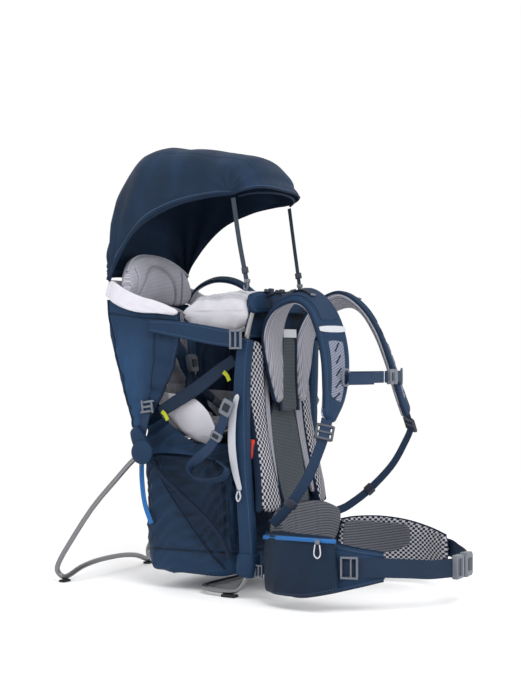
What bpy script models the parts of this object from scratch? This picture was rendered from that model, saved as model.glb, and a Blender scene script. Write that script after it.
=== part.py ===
"""Baby carrier backpack: a tube frame with a folding kickstand, a child's seat compartment with
a lower bag and a canopy, and the wearer's padded back, shoulder harness and hip belt.

Metres. +Z is up and Z = 0 is the ground. -Y is the wearer's forward side, +Y the child's back.
The right side is the wearer's right, at -X. Every right piece has a mirrored left one, except
the pocket. Sizes are drawn about the carrier's middle plane; CENTRING then moves the whole.
"""

import math

import bmesh
import bpy
from mathutils import Vector

# ---- Driving dimensions -------------------------------------------------------------------

CLEAR = 0.0006  # gap between pieces that touch
RUNNING = 0.0015  # gap round pieces that move past each other

CENTRING = (0.0117, 0.1411, 0.0)  # brings the middle of the whole carrier over the origin

TUBE_RADIUS = 0.006  # frame and kickstand tubes
FRAME_HALF = 0.150  # middle plane to an upright's centre line
HEAD_BOTTOM = 0.602  # underside of the frame head
HEAD_HEIGHT = 0.040
HEAD_DEPTH = 0.016
HEAD_Y = -0.178  # middle of the frame head
BASE_BAR_Y = -0.053  # rear bar of the base loop
SOLE_HEIGHT = 0.006
SOLE_LENGTH = 0.034
SOLE_WIDTH = 0.018
SOLE_Y = -0.128

HINGE_Y = 0.070  # kickstand hinge
HINGE_Z = 0.300
PIN_RADIUS = 0.005
EYE_RADIUS = 0.013
EYE_WIDTH = 0.012
STAND_HALF = 0.178  # middle plane to a kickstand arm
STAND_FOOT_Y = 0.300
STAND_RISE = 0.033  # how far the kickstand's cross bar stands off the ground
SHOE_HEIGHT = 0.005

CABIN_HALF = 0.146  # inside half width of the child's compartment
WALL = 0.010  # side and rear wall thickness
WALL_TOP = 0.632
BAG_HALF = 0.143
BAG_BOTTOM = 0.036
BAG_TOP = 0.318
SEAT_Z = 0.372  # top of the seat cushion
STIRRUP_HALF = FRAME_HALF + 0.0375  # middle plane to a foot stirrup
STIRRUP_Y = -0.150  # where a stirrup's strap hangs from
STIRRUP_Z = 0.418
HEADREST_TOP = 0.737
HEADREST_HALF = 0.128
HEADREST_Y = 0.188  # middle of the headrest at the back

CANOPY_HALF = 0.150  # half width at the canopy's rear corners
CANOPY_TOP = 0.980
CANOPY_FRONT = -0.176  # front edge at the middle
CANOPY_CLOTH = 0.003
CANOPY_HINGE_Y = 0.184
CANOPY_HINGE_Z = 0.675
BOW_RADIUS = 0.0025
TIE_WIDTH = 0.010  # canopy strap webbing
TIE_THICK = 0.002

STRAP_WIDTH = 0.068  # padded shoulder strap
STRAP_THICK = 0.016
STRAP_HALF = 0.100  # middle plane to a shoulder strap at its crest
STRAP_CREST = 0.640
CHEST_WEB = 0.025
CHEST_Z = 0.464
LOWER_WEB = 0.020
WEB_THICK = 0.002

FIN_THICK = 0.022
FIN_HALF = 0.198  # middle plane to the middle of a hip fin at its widest
FIN_FRONT = -0.495
BELT_WEB = 0.038
BUCKLE_Y = -0.590
BUCKLE_Z = 0.082
POCKET_DEPTH = 0.030

# ---- Colours: linear RGB, roughness, metallic ---------------------------------------------

NAVY = ("navy_fabric", (0.022, 0.050, 0.105), 0.85, 0.0)
DARK = ("dark_fabric", (0.010, 0.014, 0.024), 0.90, 0.0)
MESH = ("grey_mesh", (0.330, 0.310, 0.340), 0.90, 0.0)
FLEECE = ("pale_fleece", (0.620, 0.610, 0.650), 0.95, 0.0)
TUBE = ("grey_aluminium", (0.290, 0.280, 0.270), 0.38, 1.0)
PLASTIC = ("grey_plastic", (0.300, 0.310, 0.340), 0.45, 0.0)
BLACK = ("black_plastic", (0.020, 0.021, 0.024), 0.50, 0.0)
RUBBER = ("rubber", (0.030, 0.030, 0.032), 0.80, 0.0)


def clear_scene():
    for old in list(bpy.data.objects):
        bpy.data.objects.remove(old, do_unlink=True)


def finish(spec):
    """The Principled material of this name, made once."""
    name, colour, roughness, metallic = spec
    made = bpy.data.materials.get(name)
    if made is None:
        made = bpy.data.materials.new(name)
        made.use_nodes = True
        shader = made.node_tree.nodes["Principled BSDF"]
        shader.inputs["Base Color"].default_value = (*colour, 1.0)
        shader.inputs["Roughness"].default_value = roughness
        shader.inputs["Metallic"].default_value = metallic
    return made


def pivot(name, place, parent=None):
    """An empty on a joint's axis, which the pieces of a moving body hang from."""
    empty = bpy.data.objects.new(name, None)
    empty.empty_display_size = 0.03
    bpy.context.scene.collection.objects.link(empty)
    empty.location = Vector(place) - (Vector(parent["at"]) if parent else Vector())
    empty["at"] = list(place)
    empty.parent = parent
    return empty


def place(name, data, spec, body):
    """Puts a mesh or a curve, drawn in the carrier's frame, under its body's empty."""
    data.materials.append(finish(spec))
    obj = bpy.data.objects.new(name, data)
    bpy.context.scene.collection.objects.link(obj)
    obj.parent = body
    obj.location = -Vector(body["at"])
    return obj


# ---- Shapes -------------------------------------------------------------------------------


def smooth(points, steps):
    """A Catmull-Rom curve through the points, with this many steps in each span."""
    knots = [Vector(p) for p in points]
    knots = [2 * knots[0] - knots[1], *knots, 2 * knots[-1] - knots[-2]]
    out = []
    for before, start, end, after in zip(knots, knots[1:], knots[2:], knots[3:]):
        for step in range(steps):
            t = step / steps
            out.append(
                0.5
                * (
                    2 * start
                    + (end - before) * t
                    + (2 * before - 5 * start + 4 * end - after) * t**2
                    + (3 * start - before - 3 * end + after) * t**3
                )
            )
    return out + [knots[-2]]


def mirrored(points, side):
    """The points as drawn for the left side, or their mirror image for the right."""
    return [Vector((side * p[0], p[1], p[2])) for p in points]


def skin(name, rings, spec, body, smooth_shaded=True):
    """A closed body through a row of rings with equal point counts, capped at both ends."""
    bm = bmesh.new()
    rows = [[bm.verts.new(p) for p in ring] for ring in rings]
    count = len(rows[0])
    for low, high in zip(rows, rows[1:]):
        for i in range(count):
            j = (i + 1) % count
            bm.faces.new((low[i], low[j], high[j], high[i]))
    bm.faces.new(rows[0])
    bm.faces.new(rows[-1])
    bmesh.ops.recalc_face_normals(bm, faces=bm.faces)
    mesh = bpy.data.meshes.new(name)
    bm.to_mesh(mesh)
    bm.free()
    if smooth_shaded:
        mesh.shade_smooth()
        mesh.set_sharp_from_angle(angle=math.radians(40))
    return place(name, mesh, spec, body)


def oval(centre, across, through, half_across, half_through, points=8, power=0.7):
    """A ring shaped like a rounded rectangle, which a power of 1 makes an ellipse."""
    ring = []
    for i in range(points):
        angle = 2 * math.pi * (i + 0.5) / points
        c, s = math.cos(angle), math.sin(angle)
        a = math.copysign(abs(c) ** power, c) * half_across
        b = math.copysign(abs(s) ** power, s) * half_through
        ring.append(centre + across * a + through * b)
    return ring


def padded(name, path, across, widths, thicks, spec, body, points=8, power=0.7):
    """A padded strip along a path. across, widths and thicks are given at each path point."""
    rings = []
    for i, here in enumerate(path):
        ahead = path[min(i + 1, len(path) - 1)] - path[max(i - 1, 0)]
        side = across[i] - across[i].project(ahead)
        side.normalize()
        through = ahead.cross(side).normalized()
        rings.append(oval(here, side, through, widths[i] / 2, thicks[i] / 2, points, power))
    return skin(name, rings, spec, body)


def webbing(name, path, across, width, thick, spec, body):
    """A flat strap of constant section along a path."""
    count = len(path)
    sides = across if isinstance(across, list) else [Vector(across)] * count
    return padded(name, path, sides, [width] * count, [thick] * count, spec, body, 4, 0.01)


def rod(name, points, radius, spec, body, steps=3, sides=2):
    """A round bar or tube, its ends closed, on a smooth curve through the points."""
    path = smooth(points, steps)
    curve = bpy.data.curves.new(name, "CURVE")
    curve.dimensions = "3D"
    curve.bevel_depth = radius
    curve.bevel_resolution = sides
    curve.render_resolution_u = 0
    curve.use_fill_caps = True
    spline = curve.splines.new("POLY")
    spline.points.add(len(path) - 1)
    for point, here in zip(spline.points, path):
        point.co = (*here, 1.0)
    spline.use_smooth = True
    return place(name, curve, spec, body)


def cloth(name, rows, thick, spec, body, offset=-1.0):
    """A sheet through rows of points, given its thickness on the inner side by Solidify."""
    bm = bmesh.new()
    grid = [[bm.verts.new(p) for p in row] for row in rows]
    for low, high in zip(grid, grid[1:]):
        for i in range(len(low) - 1):
            bm.faces.new((low[i], low[i + 1], high[i + 1], high[i]))
    mesh = bpy.data.meshes.new(name)
    bm.to_mesh(mesh)
    bm.free()
    mesh.shade_smooth()
    obj = place(name, mesh, spec, body)
    solid = obj.modifiers.new("thickness", "SOLIDIFY")
    solid.thickness = thick
    solid.offset = offset
    solid.use_even_offset = True
    return obj


def block(name, centre, size, spec, body, edge=0.0015, turn=(0.0, 0.0, 0.0)):
    """A rectangular block with bevelled edges."""
    bm = bmesh.new()
    bmesh.ops.create_cube(bm, size=1.0)
    bmesh.ops.scale(bm, vec=Vector(size), verts=bm.verts)
    bmesh.ops.bevel(
        bm, geom=list(bm.edges), offset=edge, segments=1, affect="EDGES", profile=0.5
    )
    mesh = bpy.data.meshes.new(name)
    bm.to_mesh(mesh)
    bm.free()
    obj = place(name, mesh, spec, body)
    obj.location = Vector(centre) - Vector(body["at"])
    obj.rotation_euler = turn
    return obj


def turned(name, profile, centre, spec, body, steps=16):
    """A body turned about the X axis from (x, radius) points listed round a closed outline."""
    bm = bmesh.new()
    rings = []
    for i in range(steps):
        angle = 2 * math.pi * i / steps
        c, s = math.cos(angle), math.sin(angle)
        rings.append([bm.verts.new((x, r * c, r * s)) for x, r in profile])
    count = len(profile)
    for i in range(steps):
        here, there = rings[i], rings[(i + 1) % steps]
        for j in range(count):
            k = (j + 1) % count
            bm.faces.new((here[j], here[k], there[k], there[j]))
    bmesh.ops.remove_doubles(bm, verts=bm.verts, dist=1e-6)
    bmesh.ops.recalc_face_normals(bm, faces=bm.faces)
    mesh = bpy.data.meshes.new(name)
    bm.to_mesh(mesh)
    bm.free()
    mesh.shade_smooth()
    mesh.set_sharp_from_angle(angle=math.radians(35))
    obj = place(name, mesh, spec, body)
    obj.location = Vector(centre) - Vector(body["at"])
    return obj


def spread(values, count):
    """Linear steps between the listed values, so that a short list serves a longer path."""
    out = []
    for i in range(count):
        t = i / (count - 1) * (len(values) - 1)
        low = min(int(t), len(values) - 2)
        out.append(values[low] + (values[low + 1] - values[low]) * (t - low))
    return out


SIDES = {"right": -1, "left": 1}
X, Y, Z = Vector((1, 0, 0)), Vector((0, 1, 0)), Vector((0, 0, 1))


# ---- Frame and stand ----------------------------------------------------------------------

# The upright's side profile, from the head down to the base loop.
UPRIGHT = [
    (-0.022, -0.172, HEAD_BOTTOM - 0.3 * TUBE_RADIUS),
    (-0.007, -0.166, 0.545),
    (0.0, -0.161, 0.480),
    (0.0, -0.158, 0.380),
    (0.0, -0.162, 0.260),
    (0.0, -0.172, 0.140),
    (0.0, -0.175, 0.080),
    (0.0, -0.168, 0.042),
]
SLEEVED = slice(1, 7)  # the stretch of the upright that its fabric sleeve covers
TUBE_FLOOR = SOLE_HEIGHT + CLEAR + TUBE_RADIUS


def upright_points():
    return [(FRAME_HALF + dx, y, z) for dx, y, z in UPRIGHT]


def main_frame(root):
    """Two uprights and the base loop, bent from one tube."""
    right = mirrored(upright_points(), -1)
    loop = [
        (-FRAME_HALF, -0.150, TUBE_FLOOR + 0.006),
        (-FRAME_HALF, SOLE_Y, TUBE_FLOOR),
        (-FRAME_HALF, -0.092, TUBE_FLOOR),
        (-FRAME_HALF + 0.008, BASE_BAR_Y - 0.012, TUBE_FLOOR + 0.001),
        (-FRAME_HALF + 0.028, BASE_BAR_Y, TUBE_FLOOR + 0.002),
        (0.0, BASE_BAR_Y, TUBE_FLOOR + 0.002),
    ]
    right += [Vector(p) for p in loop]
    left = [Vector((-p.x, p.y, p.z)) for p in reversed(right[:-1])]
    rod("main_frame_tube", right + left, TUBE_RADIUS, TUBE, root)
    block(
        "frame_head",
        (0, HEAD_Y, HEAD_BOTTOM + HEAD_HEIGHT / 2),
        (2 * FRAME_HALF - 0.010, HEAD_DEPTH, HEAD_HEIGHT),
        DARK,
        root,
        edge=0.004,
    )
    for word, side in SIDES.items():
        block(
            f"front_sole_{word}",
            (side * FRAME_HALF, SOLE_Y, SOLE_HEIGHT / 2),
            (SOLE_WIDTH, SOLE_LENGTH, SOLE_HEIGHT),
            RUBBER,
            root,
        )


def sleeve(name, points, inner, half_across, half_through, body):
    """A fabric sleeve with a round way through it for the tube."""
    path = smooth(points, 2)
    sides = 8
    bm = bmesh.new()
    outer_rows, inner_rows = [], []
    for i, here in enumerate(path):
        ahead = (path[min(i + 1, len(path) - 1)] - path[max(i - 1, 0)]).normalized()
        side = (X - X.project(ahead)).normalized()
        through = ahead.cross(side).normalized()
        ring = oval(here, side, through, half_across, half_through, sides, 0.6)
        hole = oval(here, side, through, inner, inner, sides, 1.0)
        outer_rows.append([bm.verts.new(p) for p in ring])
        inner_rows.append([bm.verts.new(p) for p in hole])
    for rows in (outer_rows, inner_rows):
        for low, high in zip(rows, rows[1:]):
            for i in range(sides):
                j = (i + 1) % sides
                bm.faces.new((low[i], low[j], high[j], high[i]))
    for outer, hole in ((outer_rows[0], inner_rows[0]), (outer_rows[-1], inner_rows[-1])):
        for i in range(sides):
            j = (i + 1) % sides
            bm.faces.new((outer[i], outer[j], hole[j], hole[i]))
    bmesh.ops.recalc_face_normals(bm, faces=bm.faces)
    mesh = bpy.data.meshes.new(name)
    bm.to_mesh(mesh)
    bm.free()
    mesh.shade_smooth()
    mesh.set_sharp_from_angle(angle=math.radians(50))
    return place(name, mesh, NAVY, body)


def frame_covers(root):
    """Sleeves on the uprights, and the grab strips that stand off them."""
    inner = TUBE_RADIUS * 1.09 + RUNNING
    for word, side in SIDES.items():
        points = mirrored(upright_points()[SLEEVED], side)
        sleeve(f"upright_sleeve_{word}", points, inner, 0.013, 0.015, root)
        grip = [
            (FRAME_HALF + 0.018, -0.158, 0.425),
            (FRAME_HALF + 0.021, -0.150, 0.390),
            (FRAME_HALF + 0.022, -0.147, 0.330),
            (FRAME_HALF + 0.021, -0.153, 0.275),
            (FRAME_HALF + 0.018, -0.164, 0.228),
        ]
        webbing(
            f"grab_strip_{word}",
            smooth(mirrored(grip, side), 2),
            Y,
            0.017,
            0.005,
            PLASTIC,
            root,
        )


def side_stays(root):
    """The rods that hold the seat out behind the frame, from the cabin's rear corner to the base."""
    for word, side in SIDES.items():
        x = CABIN_HALF + WALL + 0.0065
        points = [
            (x, 0.104, 0.345),
            (x, 0.082, HINGE_Z + 0.012),
            (x, 0.050, 0.262),
            (x, -0.010, 0.215),
            (x, -0.070, 0.170),
            (x, -0.115, 0.125),
            (x, -0.138, 0.080),
        ]
        rod(f"side_stay_{word}", mirrored(points, side), 0.005, TUBE, root)


def kickstand(root, stand):
    """The folding rear stand: one bent tube with an eye at each end, and a rubber shoe each side."""
    low = SHOE_HEIGHT + CLEAR + TUBE_RADIUS
    arm = [
        (STAND_HALF, HINGE_Y + 0.0155, HINGE_Z - 0.009),
        (STAND_HALF, HINGE_Y + 0.036, HINGE_Z - 0.023),
        (STAND_HALF, HINGE_Y + 0.074, HINGE_Z - 0.060),
        (STAND_HALF, STAND_FOOT_Y - 0.088, 0.171),
        (STAND_HALF, STAND_FOOT_Y - 0.020, 0.082),
        (STAND_HALF, STAND_FOOT_Y + 0.006, 0.042),
        (STAND_HALF - 0.001, STAND_FOOT_Y + 0.009, 0.024),
        (STAND_HALF - 0.010, STAND_FOOT_Y, low),
        (STAND_HALF - 0.030, STAND_FOOT_Y - 0.003, low + 0.002),
        (0.110, STAND_FOOT_Y - 0.005, 0.026),
        (0.060, STAND_FOOT_Y - 0.006, STAND_RISE),
        (0.0, STAND_FOOT_Y - 0.006, STAND_RISE + 0.002),
    ]
    right = mirrored(arm, -1)
    left = [Vector((-p.x, p.y, p.z)) for p in reversed(right[:-1])]
    rod("kickstand_tube", right + left, TUBE_RADIUS, TUBE, stand)
    for word, side in SIDES.items():
        block(
            f"kickstand_shoe_{word}",
            (side * (STAND_HALF - 0.014), STAND_FOOT_Y - 0.001, SHOE_HEIGHT / 2),
            (0.026, 0.016, SHOE_HEIGHT),
            RUBBER,
            stand,
        )
        bore = PIN_RADIUS + RUNNING
        half = EYE_WIDTH / 2
        turned(
            f"kickstand_eye_{word}",
            [(-half, bore), (half, bore), (half, EYE_RADIUS - 0.001), (-half, EYE_RADIUS - 0.001)],
            (side * STAND_HALF, HINGE_Y, HINGE_Z),
            PLASTIC,
            stand,
        )
        inside = STAND_HALF - CABIN_HALF - WALL - 0.013  # from the eye's middle to the pin's root
        cover = half + RUNNING
        profile = [
            (-inside, 0.0),
            (-inside, PIN_RADIUS),
            (cover, PIN_RADIUS),
            (cover, 0.024),
            (cover + 0.004, 0.020),
            (cover + 0.006, 0.010),
            (cover + 0.006, 0.0),
        ]
        turned(
            f"hinge_hub_{word}",
            [(side * x, r) for x, r in profile],
            (side * STAND_HALF, HINGE_Y, HINGE_Z),
            NAVY,
            root,
        )


# ---- Child's compartment and bag ----------------------------------------------------------

WALL_FOOT = 0.345


def wall_height(share):
    """Height at this share of the way from the side wall's foot to its top."""
    return WALL_FOOT + (WALL_TOP - WALL_FOOT) * share


# The rear and front edges of the compartment's side, from the top down, as (y, z).
REAR_EDGE = [(0.184, WALL_TOP), (0.169, wall_height(0.69)), (0.139, wall_height(0.307)), (0.110, WALL_FOOT)]
FRONT_EDGE = [
    (-0.006, WALL_TOP - 0.030),
    (-0.004, wall_height(0.68)),
    (0.024, wall_height(0.383)),
    (0.075, wall_height(0.08)),
]


def cabin(root):
    """Side walls, rear wall and the child's backrest."""
    rear = smooth([(0, y, z) for y, z in REAR_EDGE], 3)
    front = smooth([(0, y, z) for y, z in FRONT_EDGE], 3)
    for word, side in SIDES.items():
        rows = []
        for back, fore in zip(rear, front):
            row = []
            for i in range(6):
                t = i / 5
                p = back.lerp(fore, t)
                bulge = 0.007 * math.sin(math.pi * t)
                row.append(Vector((side * (CABIN_HALF + WALL + bulge), p.y, p.z)))
            rows.append(row)
        cloth(f"side_wall_{word}", rows, WALL, NAVY, root, offset=side * 1.0)
    rows = []
    half = CABIN_HALF - CLEAR
    for back in rear:
        row = []
        for i in range(9):
            t = 2 * i / 8 - 1
            row.append(Vector((half * t, back.y + 0.012 * (1 - t * t), back.z)))
        rows.append(row)
    cloth("rear_wall", rows, WALL, NAVY, root, offset=1.0)
    rows = []
    for y, z in ((-0.146, 0.552), (-0.146, 0.480), (-0.146, 0.410), (-0.142, 0.340)):
        rows.append([Vector((t * 0.118, y, z)) for t in (-1, -0.5, 0, 0.5, 1)])
    cloth("front_wall", rows, 0.004, DARK, root, offset=1.0)
    tall = [p for p in rear if p.z > SEAT_Z + 0.035]
    path = [Vector((0, p.y - 0.032, p.z - 0.012)) for p in tall]
    count = len(path)
    padded(
        "child_backrest",
        path,
        [X] * count,
        spread([0.17, 0.20, 0.20, 0.17], count),
        spread([0.016, 0.026, 0.026, 0.016], count),
        MESH,
        root,
        points=12,
    )


def seat(carriage):
    """Seat shell with its crotch piece, and the cushion on it. They slide up and down together."""
    shell = [
        (0.0, 0.078, SEAT_Z + 0.010),
        (0.0, 0.066, SEAT_Z - 0.030),
        (0.0, 0.030, SEAT_Z - 0.040),
        (0.0, -0.020, SEAT_Z - 0.040),
        (0.0, -0.065, SEAT_Z - 0.030),
        (0.0, -0.095, SEAT_Z + 0.002),
        (0.0, -0.112, SEAT_Z + 0.060),
        (0.0, -0.122, SEAT_Z + 0.105),
    ]
    path = smooth(shell, 2)
    count = len(path)
    padded(
        "seat_shell",
        path,
        [X] * count,
        spread([0.20, 0.22, 0.22, 0.20, 0.13, 0.075, 0.075, 0.10], count),
        [0.008] * count,
        DARK,
        carriage,
    )
    top = [Vector((0, y, SEAT_Z - 0.017)) for y in (0.056, 0.030, 0.0, -0.030, -0.052)]
    padded(
        "seat_cushion",
        top,
        [X] * 5,
        [0.17, 0.20, 0.205, 0.18, 0.12],
        [0.020, 0.032, 0.032, 0.026, 0.014],
        MESH,
        carriage,
        points=10,
    )


def headrest(slider):
    """A padded hood that curves round the child's head from side to side."""
    rings = []
    for i in range(9):
        t = 2 * i / 8 - 1
        angle = t * math.radians(48)
        x = HEADREST_HALF * math.sin(angle) / math.sin(math.radians(48))
        y = HEADREST_Y - 0.085 * (1 - math.cos(angle))
        top = HEADREST_TOP - 0.050 * abs(t) ** 2.4
        low = WALL_TOP + 0.010
        thick = 0.030 - 0.010 * abs(t) ** 3
        out = Vector((math.sin(angle), math.cos(angle), 0))
        centre = Vector((x, y, (top + low) / 2))
        rings.append(oval(centre, Z, out, (top - low) / 2, thick / 2, 10, 0.75))
    skin("headrest", rings, MESH, slider)


def chin_pad(root):
    """The soft bib at the front of the compartment, hollowed towards the child."""
    rings = []
    for i in range(9):
        t = 2 * i / 8 - 1
        back = -0.004 - 0.050 * (1 - abs(t) ** 2.5)
        front = HEAD_Y + HEAD_DEPTH / 2 + 0.008
        top = 0.646 - 0.010 * t * t
        low = 0.560
        middle = Vector((0.132 * t, (back + front) / 2, (top + low) / 2))
        rings.append(oval(middle, Y, Z, (back - front) / 2, (top - low) / 2, 10, 0.55))
    skin("chin_pad", rings, FLEECE, root)


def grab_handle(root):
    """The lifting handle, an arch from the left wall's rim to the front of the compartment."""
    arch = [
        (0.1500, 0.166, 0.6410),
        (0.1485, 0.145, 0.6700),
        (0.1460, 0.105, 0.6870),
        (0.1400, 0.065, 0.6890),
        (0.1320, 0.022, 0.6790),
        (0.1240, -0.020, 0.6585),
    ]
    webbing("grab_handle", smooth(arch, 2), Z, 0.016, 0.006, NAVY, root)


def side_straps(root):
    """The straps that pull the compartment's sides towards the frame."""
    for word, side in SIDES.items():
        x = CABIN_HALF + WALL + 0.0105
        run = [(x + 0.0085, 0.052, WALL_TOP - 0.059), (x + 0.003, 0.0, WALL_TOP - 0.065)]
        run += [(x + 0.001, -0.030, WALL_TOP - 0.070)]
        run += [(FRAME_HALF + 0.0185, -0.090, 0.552), (FRAME_HALF + 0.0205, -0.172, 0.540)]
        webbing(
            f"side_strap_{word}",
            smooth(mirrored(run, side), 2),
            Z,
            0.034,
            WEB_THICK,
            NAVY,
            root,
        )


def child_harness(root):
    """The two straps that hold the child, meeting at a chest buckle in front of the backrest."""
    block(
        "child_harness",
        (0, 0.084, 0.520),
        (0.060, 0.012, 0.120),
        DARK,
        root,
        edge=0.004,
        turn=(math.radians(-12), 0, 0),
    )


def lower_bag(root):
    """The zipped bag under the seat."""
    levels = [
        (BAG_BOTTOM, 0.122, -0.105, 0.084),
        (BAG_BOTTOM + 0.012, BAG_HALF - 0.005, -0.128, 0.106),
        (0.110, BAG_HALF, -0.136, 0.113),
        (0.190, BAG_HALF, -0.132, 0.115),
        (0.250, BAG_HALF, -0.126, 0.116),
        (BAG_TOP - 0.012, BAG_HALF - 0.001, -0.118, 0.108),
        (BAG_TOP, 0.125, -0.098, 0.088),
    ]
    rings = []
    for z, half, front, back in levels:
        centre = Vector((0, (front + back) / 2, z))
        rings.append(oval(centre, X, Y, half, (back - front) / 2, 16, 0.32))
    skin("lower_bag", rings, NAVY, root)


def stirrups(pivots):
    """Foot loops that hang from the frame beside the bag."""
    for word, side in SIDES.items():
        x = STIRRUP_HALF
        run = [(x, STIRRUP_Y, STIRRUP_Z), (x, -0.132, 0.364), (x, -0.104, 0.318)]
        run += [(x, -0.064, 0.288), (x, -0.048, 0.268), (x, -0.064, 0.250), (x, -0.100, 0.246)]
        run += [(x, -0.136, 0.254), (x, -0.146, 0.272), (x, -0.124, 0.288)]
        webbing(
            f"foot_stirrup_{word}",
            smooth(mirrored(run, side), 2),
            X,
            0.022,
            0.003,
            NAVY,
            pivots[word],
        )


# ---- Canopy -------------------------------------------------------------------------------

# Rim and ridge of the canopy from its rear edge to its front edge: half width, y and z of the
# rim, then y and z of the ridge in the same cross section.
CANOPY_RIBS = [
    (CANOPY_HALF, 0.184, CANOPY_HINGE_Z, 0.214, 0.690),
    (CANOPY_HALF + 0.001, 0.172, 0.708, 0.223, 0.765),
    (CANOPY_HALF + 0.001, 0.150, 0.742, 0.219, 0.845),
    (CANOPY_HALF, 0.120, 0.778, 0.203, 0.910),
    (CANOPY_HALF - 0.003, 0.080, 0.808, 0.165, CANOPY_TOP - 0.014),
    (CANOPY_HALF - 0.006, 0.040, 0.827, 0.100, CANOPY_TOP),
    (CANOPY_HALF - 0.011, -0.005, 0.840, 0.025, CANOPY_TOP - 0.007),
    (CANOPY_HALF - 0.016, -0.045, 0.847, -0.045, CANOPY_TOP - 0.017),
    (CANOPY_HALF - 0.020, -0.085, 0.851, -0.108, CANOPY_TOP - 0.032),
    (CANOPY_HALF - 0.023, -0.105, 0.852, CANOPY_FRONT + 0.030, CANOPY_TOP - 0.056),
    (CANOPY_HALF - 0.024, -0.119, 0.853, CANOPY_FRONT, CANOPY_TOP - 0.108),
]


def canopy_arch(rib, count):
    """Points across the canopy from the right rim over the ridge to the left rim."""
    half, rim_y, rim_z, ridge_y, ridge_z = rib
    row = []
    for i in range(count):
        angle = math.pi * i / (count - 1)
        lift = math.sin(angle) ** 0.75
        x = -half * math.copysign(abs(math.cos(angle)) ** 0.85, math.cos(angle))
        row.append(Vector((x, rim_y + (ridge_y - rim_y) * lift, rim_z + (ridge_z - rim_z) * lift)))
    return row


def canopy(shade, ties):
    """The canopy cloth, the bow in its front edge and the two straps that hold it down."""
    rows = [canopy_arch(rib, 15) for rib in CANOPY_RIBS]
    cloth("canopy_cloth", rows, CANOPY_CLOTH, NAVY, shade, offset=1.0)
    half, rim_y, rim_z, front_y, front_z = CANOPY_RIBS[-1]
    bow = []
    for i in range(9):
        angle = math.pi * (0.06 + 0.88 * i / 8)
        lift = math.sin(angle) ** 0.75
        y = rim_y + (front_y - rim_y) * lift + 0.008
        z = rim_z + (front_z - rim_z) * lift - BOW_RADIUS - CANOPY_CLOTH - 0.004
        bow.append((-0.92 * half * math.cos(angle), y, z))
    rod("canopy_bow", bow, BOW_RADIUS, BLACK, shade, steps=2)
    for word, side in SIDES.items():
        run = [(half - 0.003, rim_y - 0.001, rim_z - 0.009), (0.121, -0.135, 0.750)]
        run += [(0.116, -0.149, HEAD_BOTTOM + HEAD_HEIGHT + 0.022)]
        run += [(0.115, -0.152, HEAD_BOTTOM + HEAD_HEIGHT + 0.003)]
        path = smooth(mirrored(run, side), 3)
        count = len(path)
        padded(
            f"canopy_strap_{word}",
            path,
            [Y] * count,
            spread([TIE_WIDTH] * 4 + [0.012], count),
            spread([TIE_THICK] * 4 + [0.005], count),
            NAVY,
            ties,
            points=4,
            power=0.01,
        )


# ---- Wearer's back system -----------------------------------------------------------------

# The front face of the back panel at the middle plane, as (y, z) from the top down.
BACK_LINE = [(-0.163, 0.575), (-0.160, 0.480), (-0.166, 0.380), (-0.180, 0.280), (-0.200, 0.195)]


def back_panel(root):
    """The mesh stretched between the uprights, two padded strips on it and the lumbar pad."""
    line = smooth([(0, y, z) for y, z in BACK_LINE], 3)
    rows = []
    half = FRAME_HALF - 0.030
    for p in line:
        rows.append([Vector((half * t, p.y + 0.003 * t * t, p.z)) for t in (-1, -0.5, 0, 0.5, 1)])
    cloth("back_mesh", rows, 0.003, MESH, root, offset=-1.0)
    for word, side in SIDES.items():
        path = []
        for i, p in enumerate(line):
            t = i / (len(line) - 1)
            spot = Vector((side * (0.108 - 0.010 * math.sin(math.pi * t)), p.y - 0.0120, p.z))
            path.append(spot)
        count = len(path)
        padded(
            f"back_pad_{word}",
            path,
            [X] * count,
            spread([0.036, 0.044, 0.046, 0.046, 0.044], count),
            spread([0.010, 0.016, 0.016, 0.016, 0.014], count),
            MESH,
            root,
        )
    path = [Vector((x, y, 0.132)) for x, y in LUMBAR]
    count = len(path)
    padded(
        "lumbar_pad",
        path,
        [Z] * count,
        spread([0.085, 0.105, 0.110, 0.105, 0.085], count),
        spread([0.018, 0.024, 0.024, 0.024, 0.018], count),
        MESH,
        root,
        points=10,
    )


LUMBAR = [(-0.112, -0.224), (-0.075, -0.216), (0.0, -0.212), (0.075, -0.216), (0.112, -0.224)]


# The shoulder strap's middle line on the left side, from the yoke over the crest to its end.
STRAP_LINE = [
    (STRAP_HALF - 0.048, -0.190, 0.430),
    (STRAP_HALF - 0.036, -0.192, 0.500),
    (STRAP_HALF - 0.022, -0.198, 0.560),
    (STRAP_HALF - 0.010, -0.222, 0.608),
    (STRAP_HALF - 0.003, -0.268, STRAP_CREST - 0.007),
    (STRAP_HALF + 0.003, -0.312, 0.614),
    (STRAP_HALF + 0.012, -0.344, 0.566),
    (STRAP_HALF + 0.028, -0.366, 0.500),
    (STRAP_HALF + 0.054, -0.377, 0.434),
    (STRAP_HALF + 0.092, -0.382, 0.378),
]
STRAP_ACROSS = [(1, 0, 0)] * 3 + [(1, 0, -0.2), (1, 0.1, -0.4), (1, 0.3, -0.2), (1, 0.4, 0), (1, 0.4, 0.2)]
STRAP_ACROSS += [(1, 0.35, 0.3), (1, 0.2, 0.6)]


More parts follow.
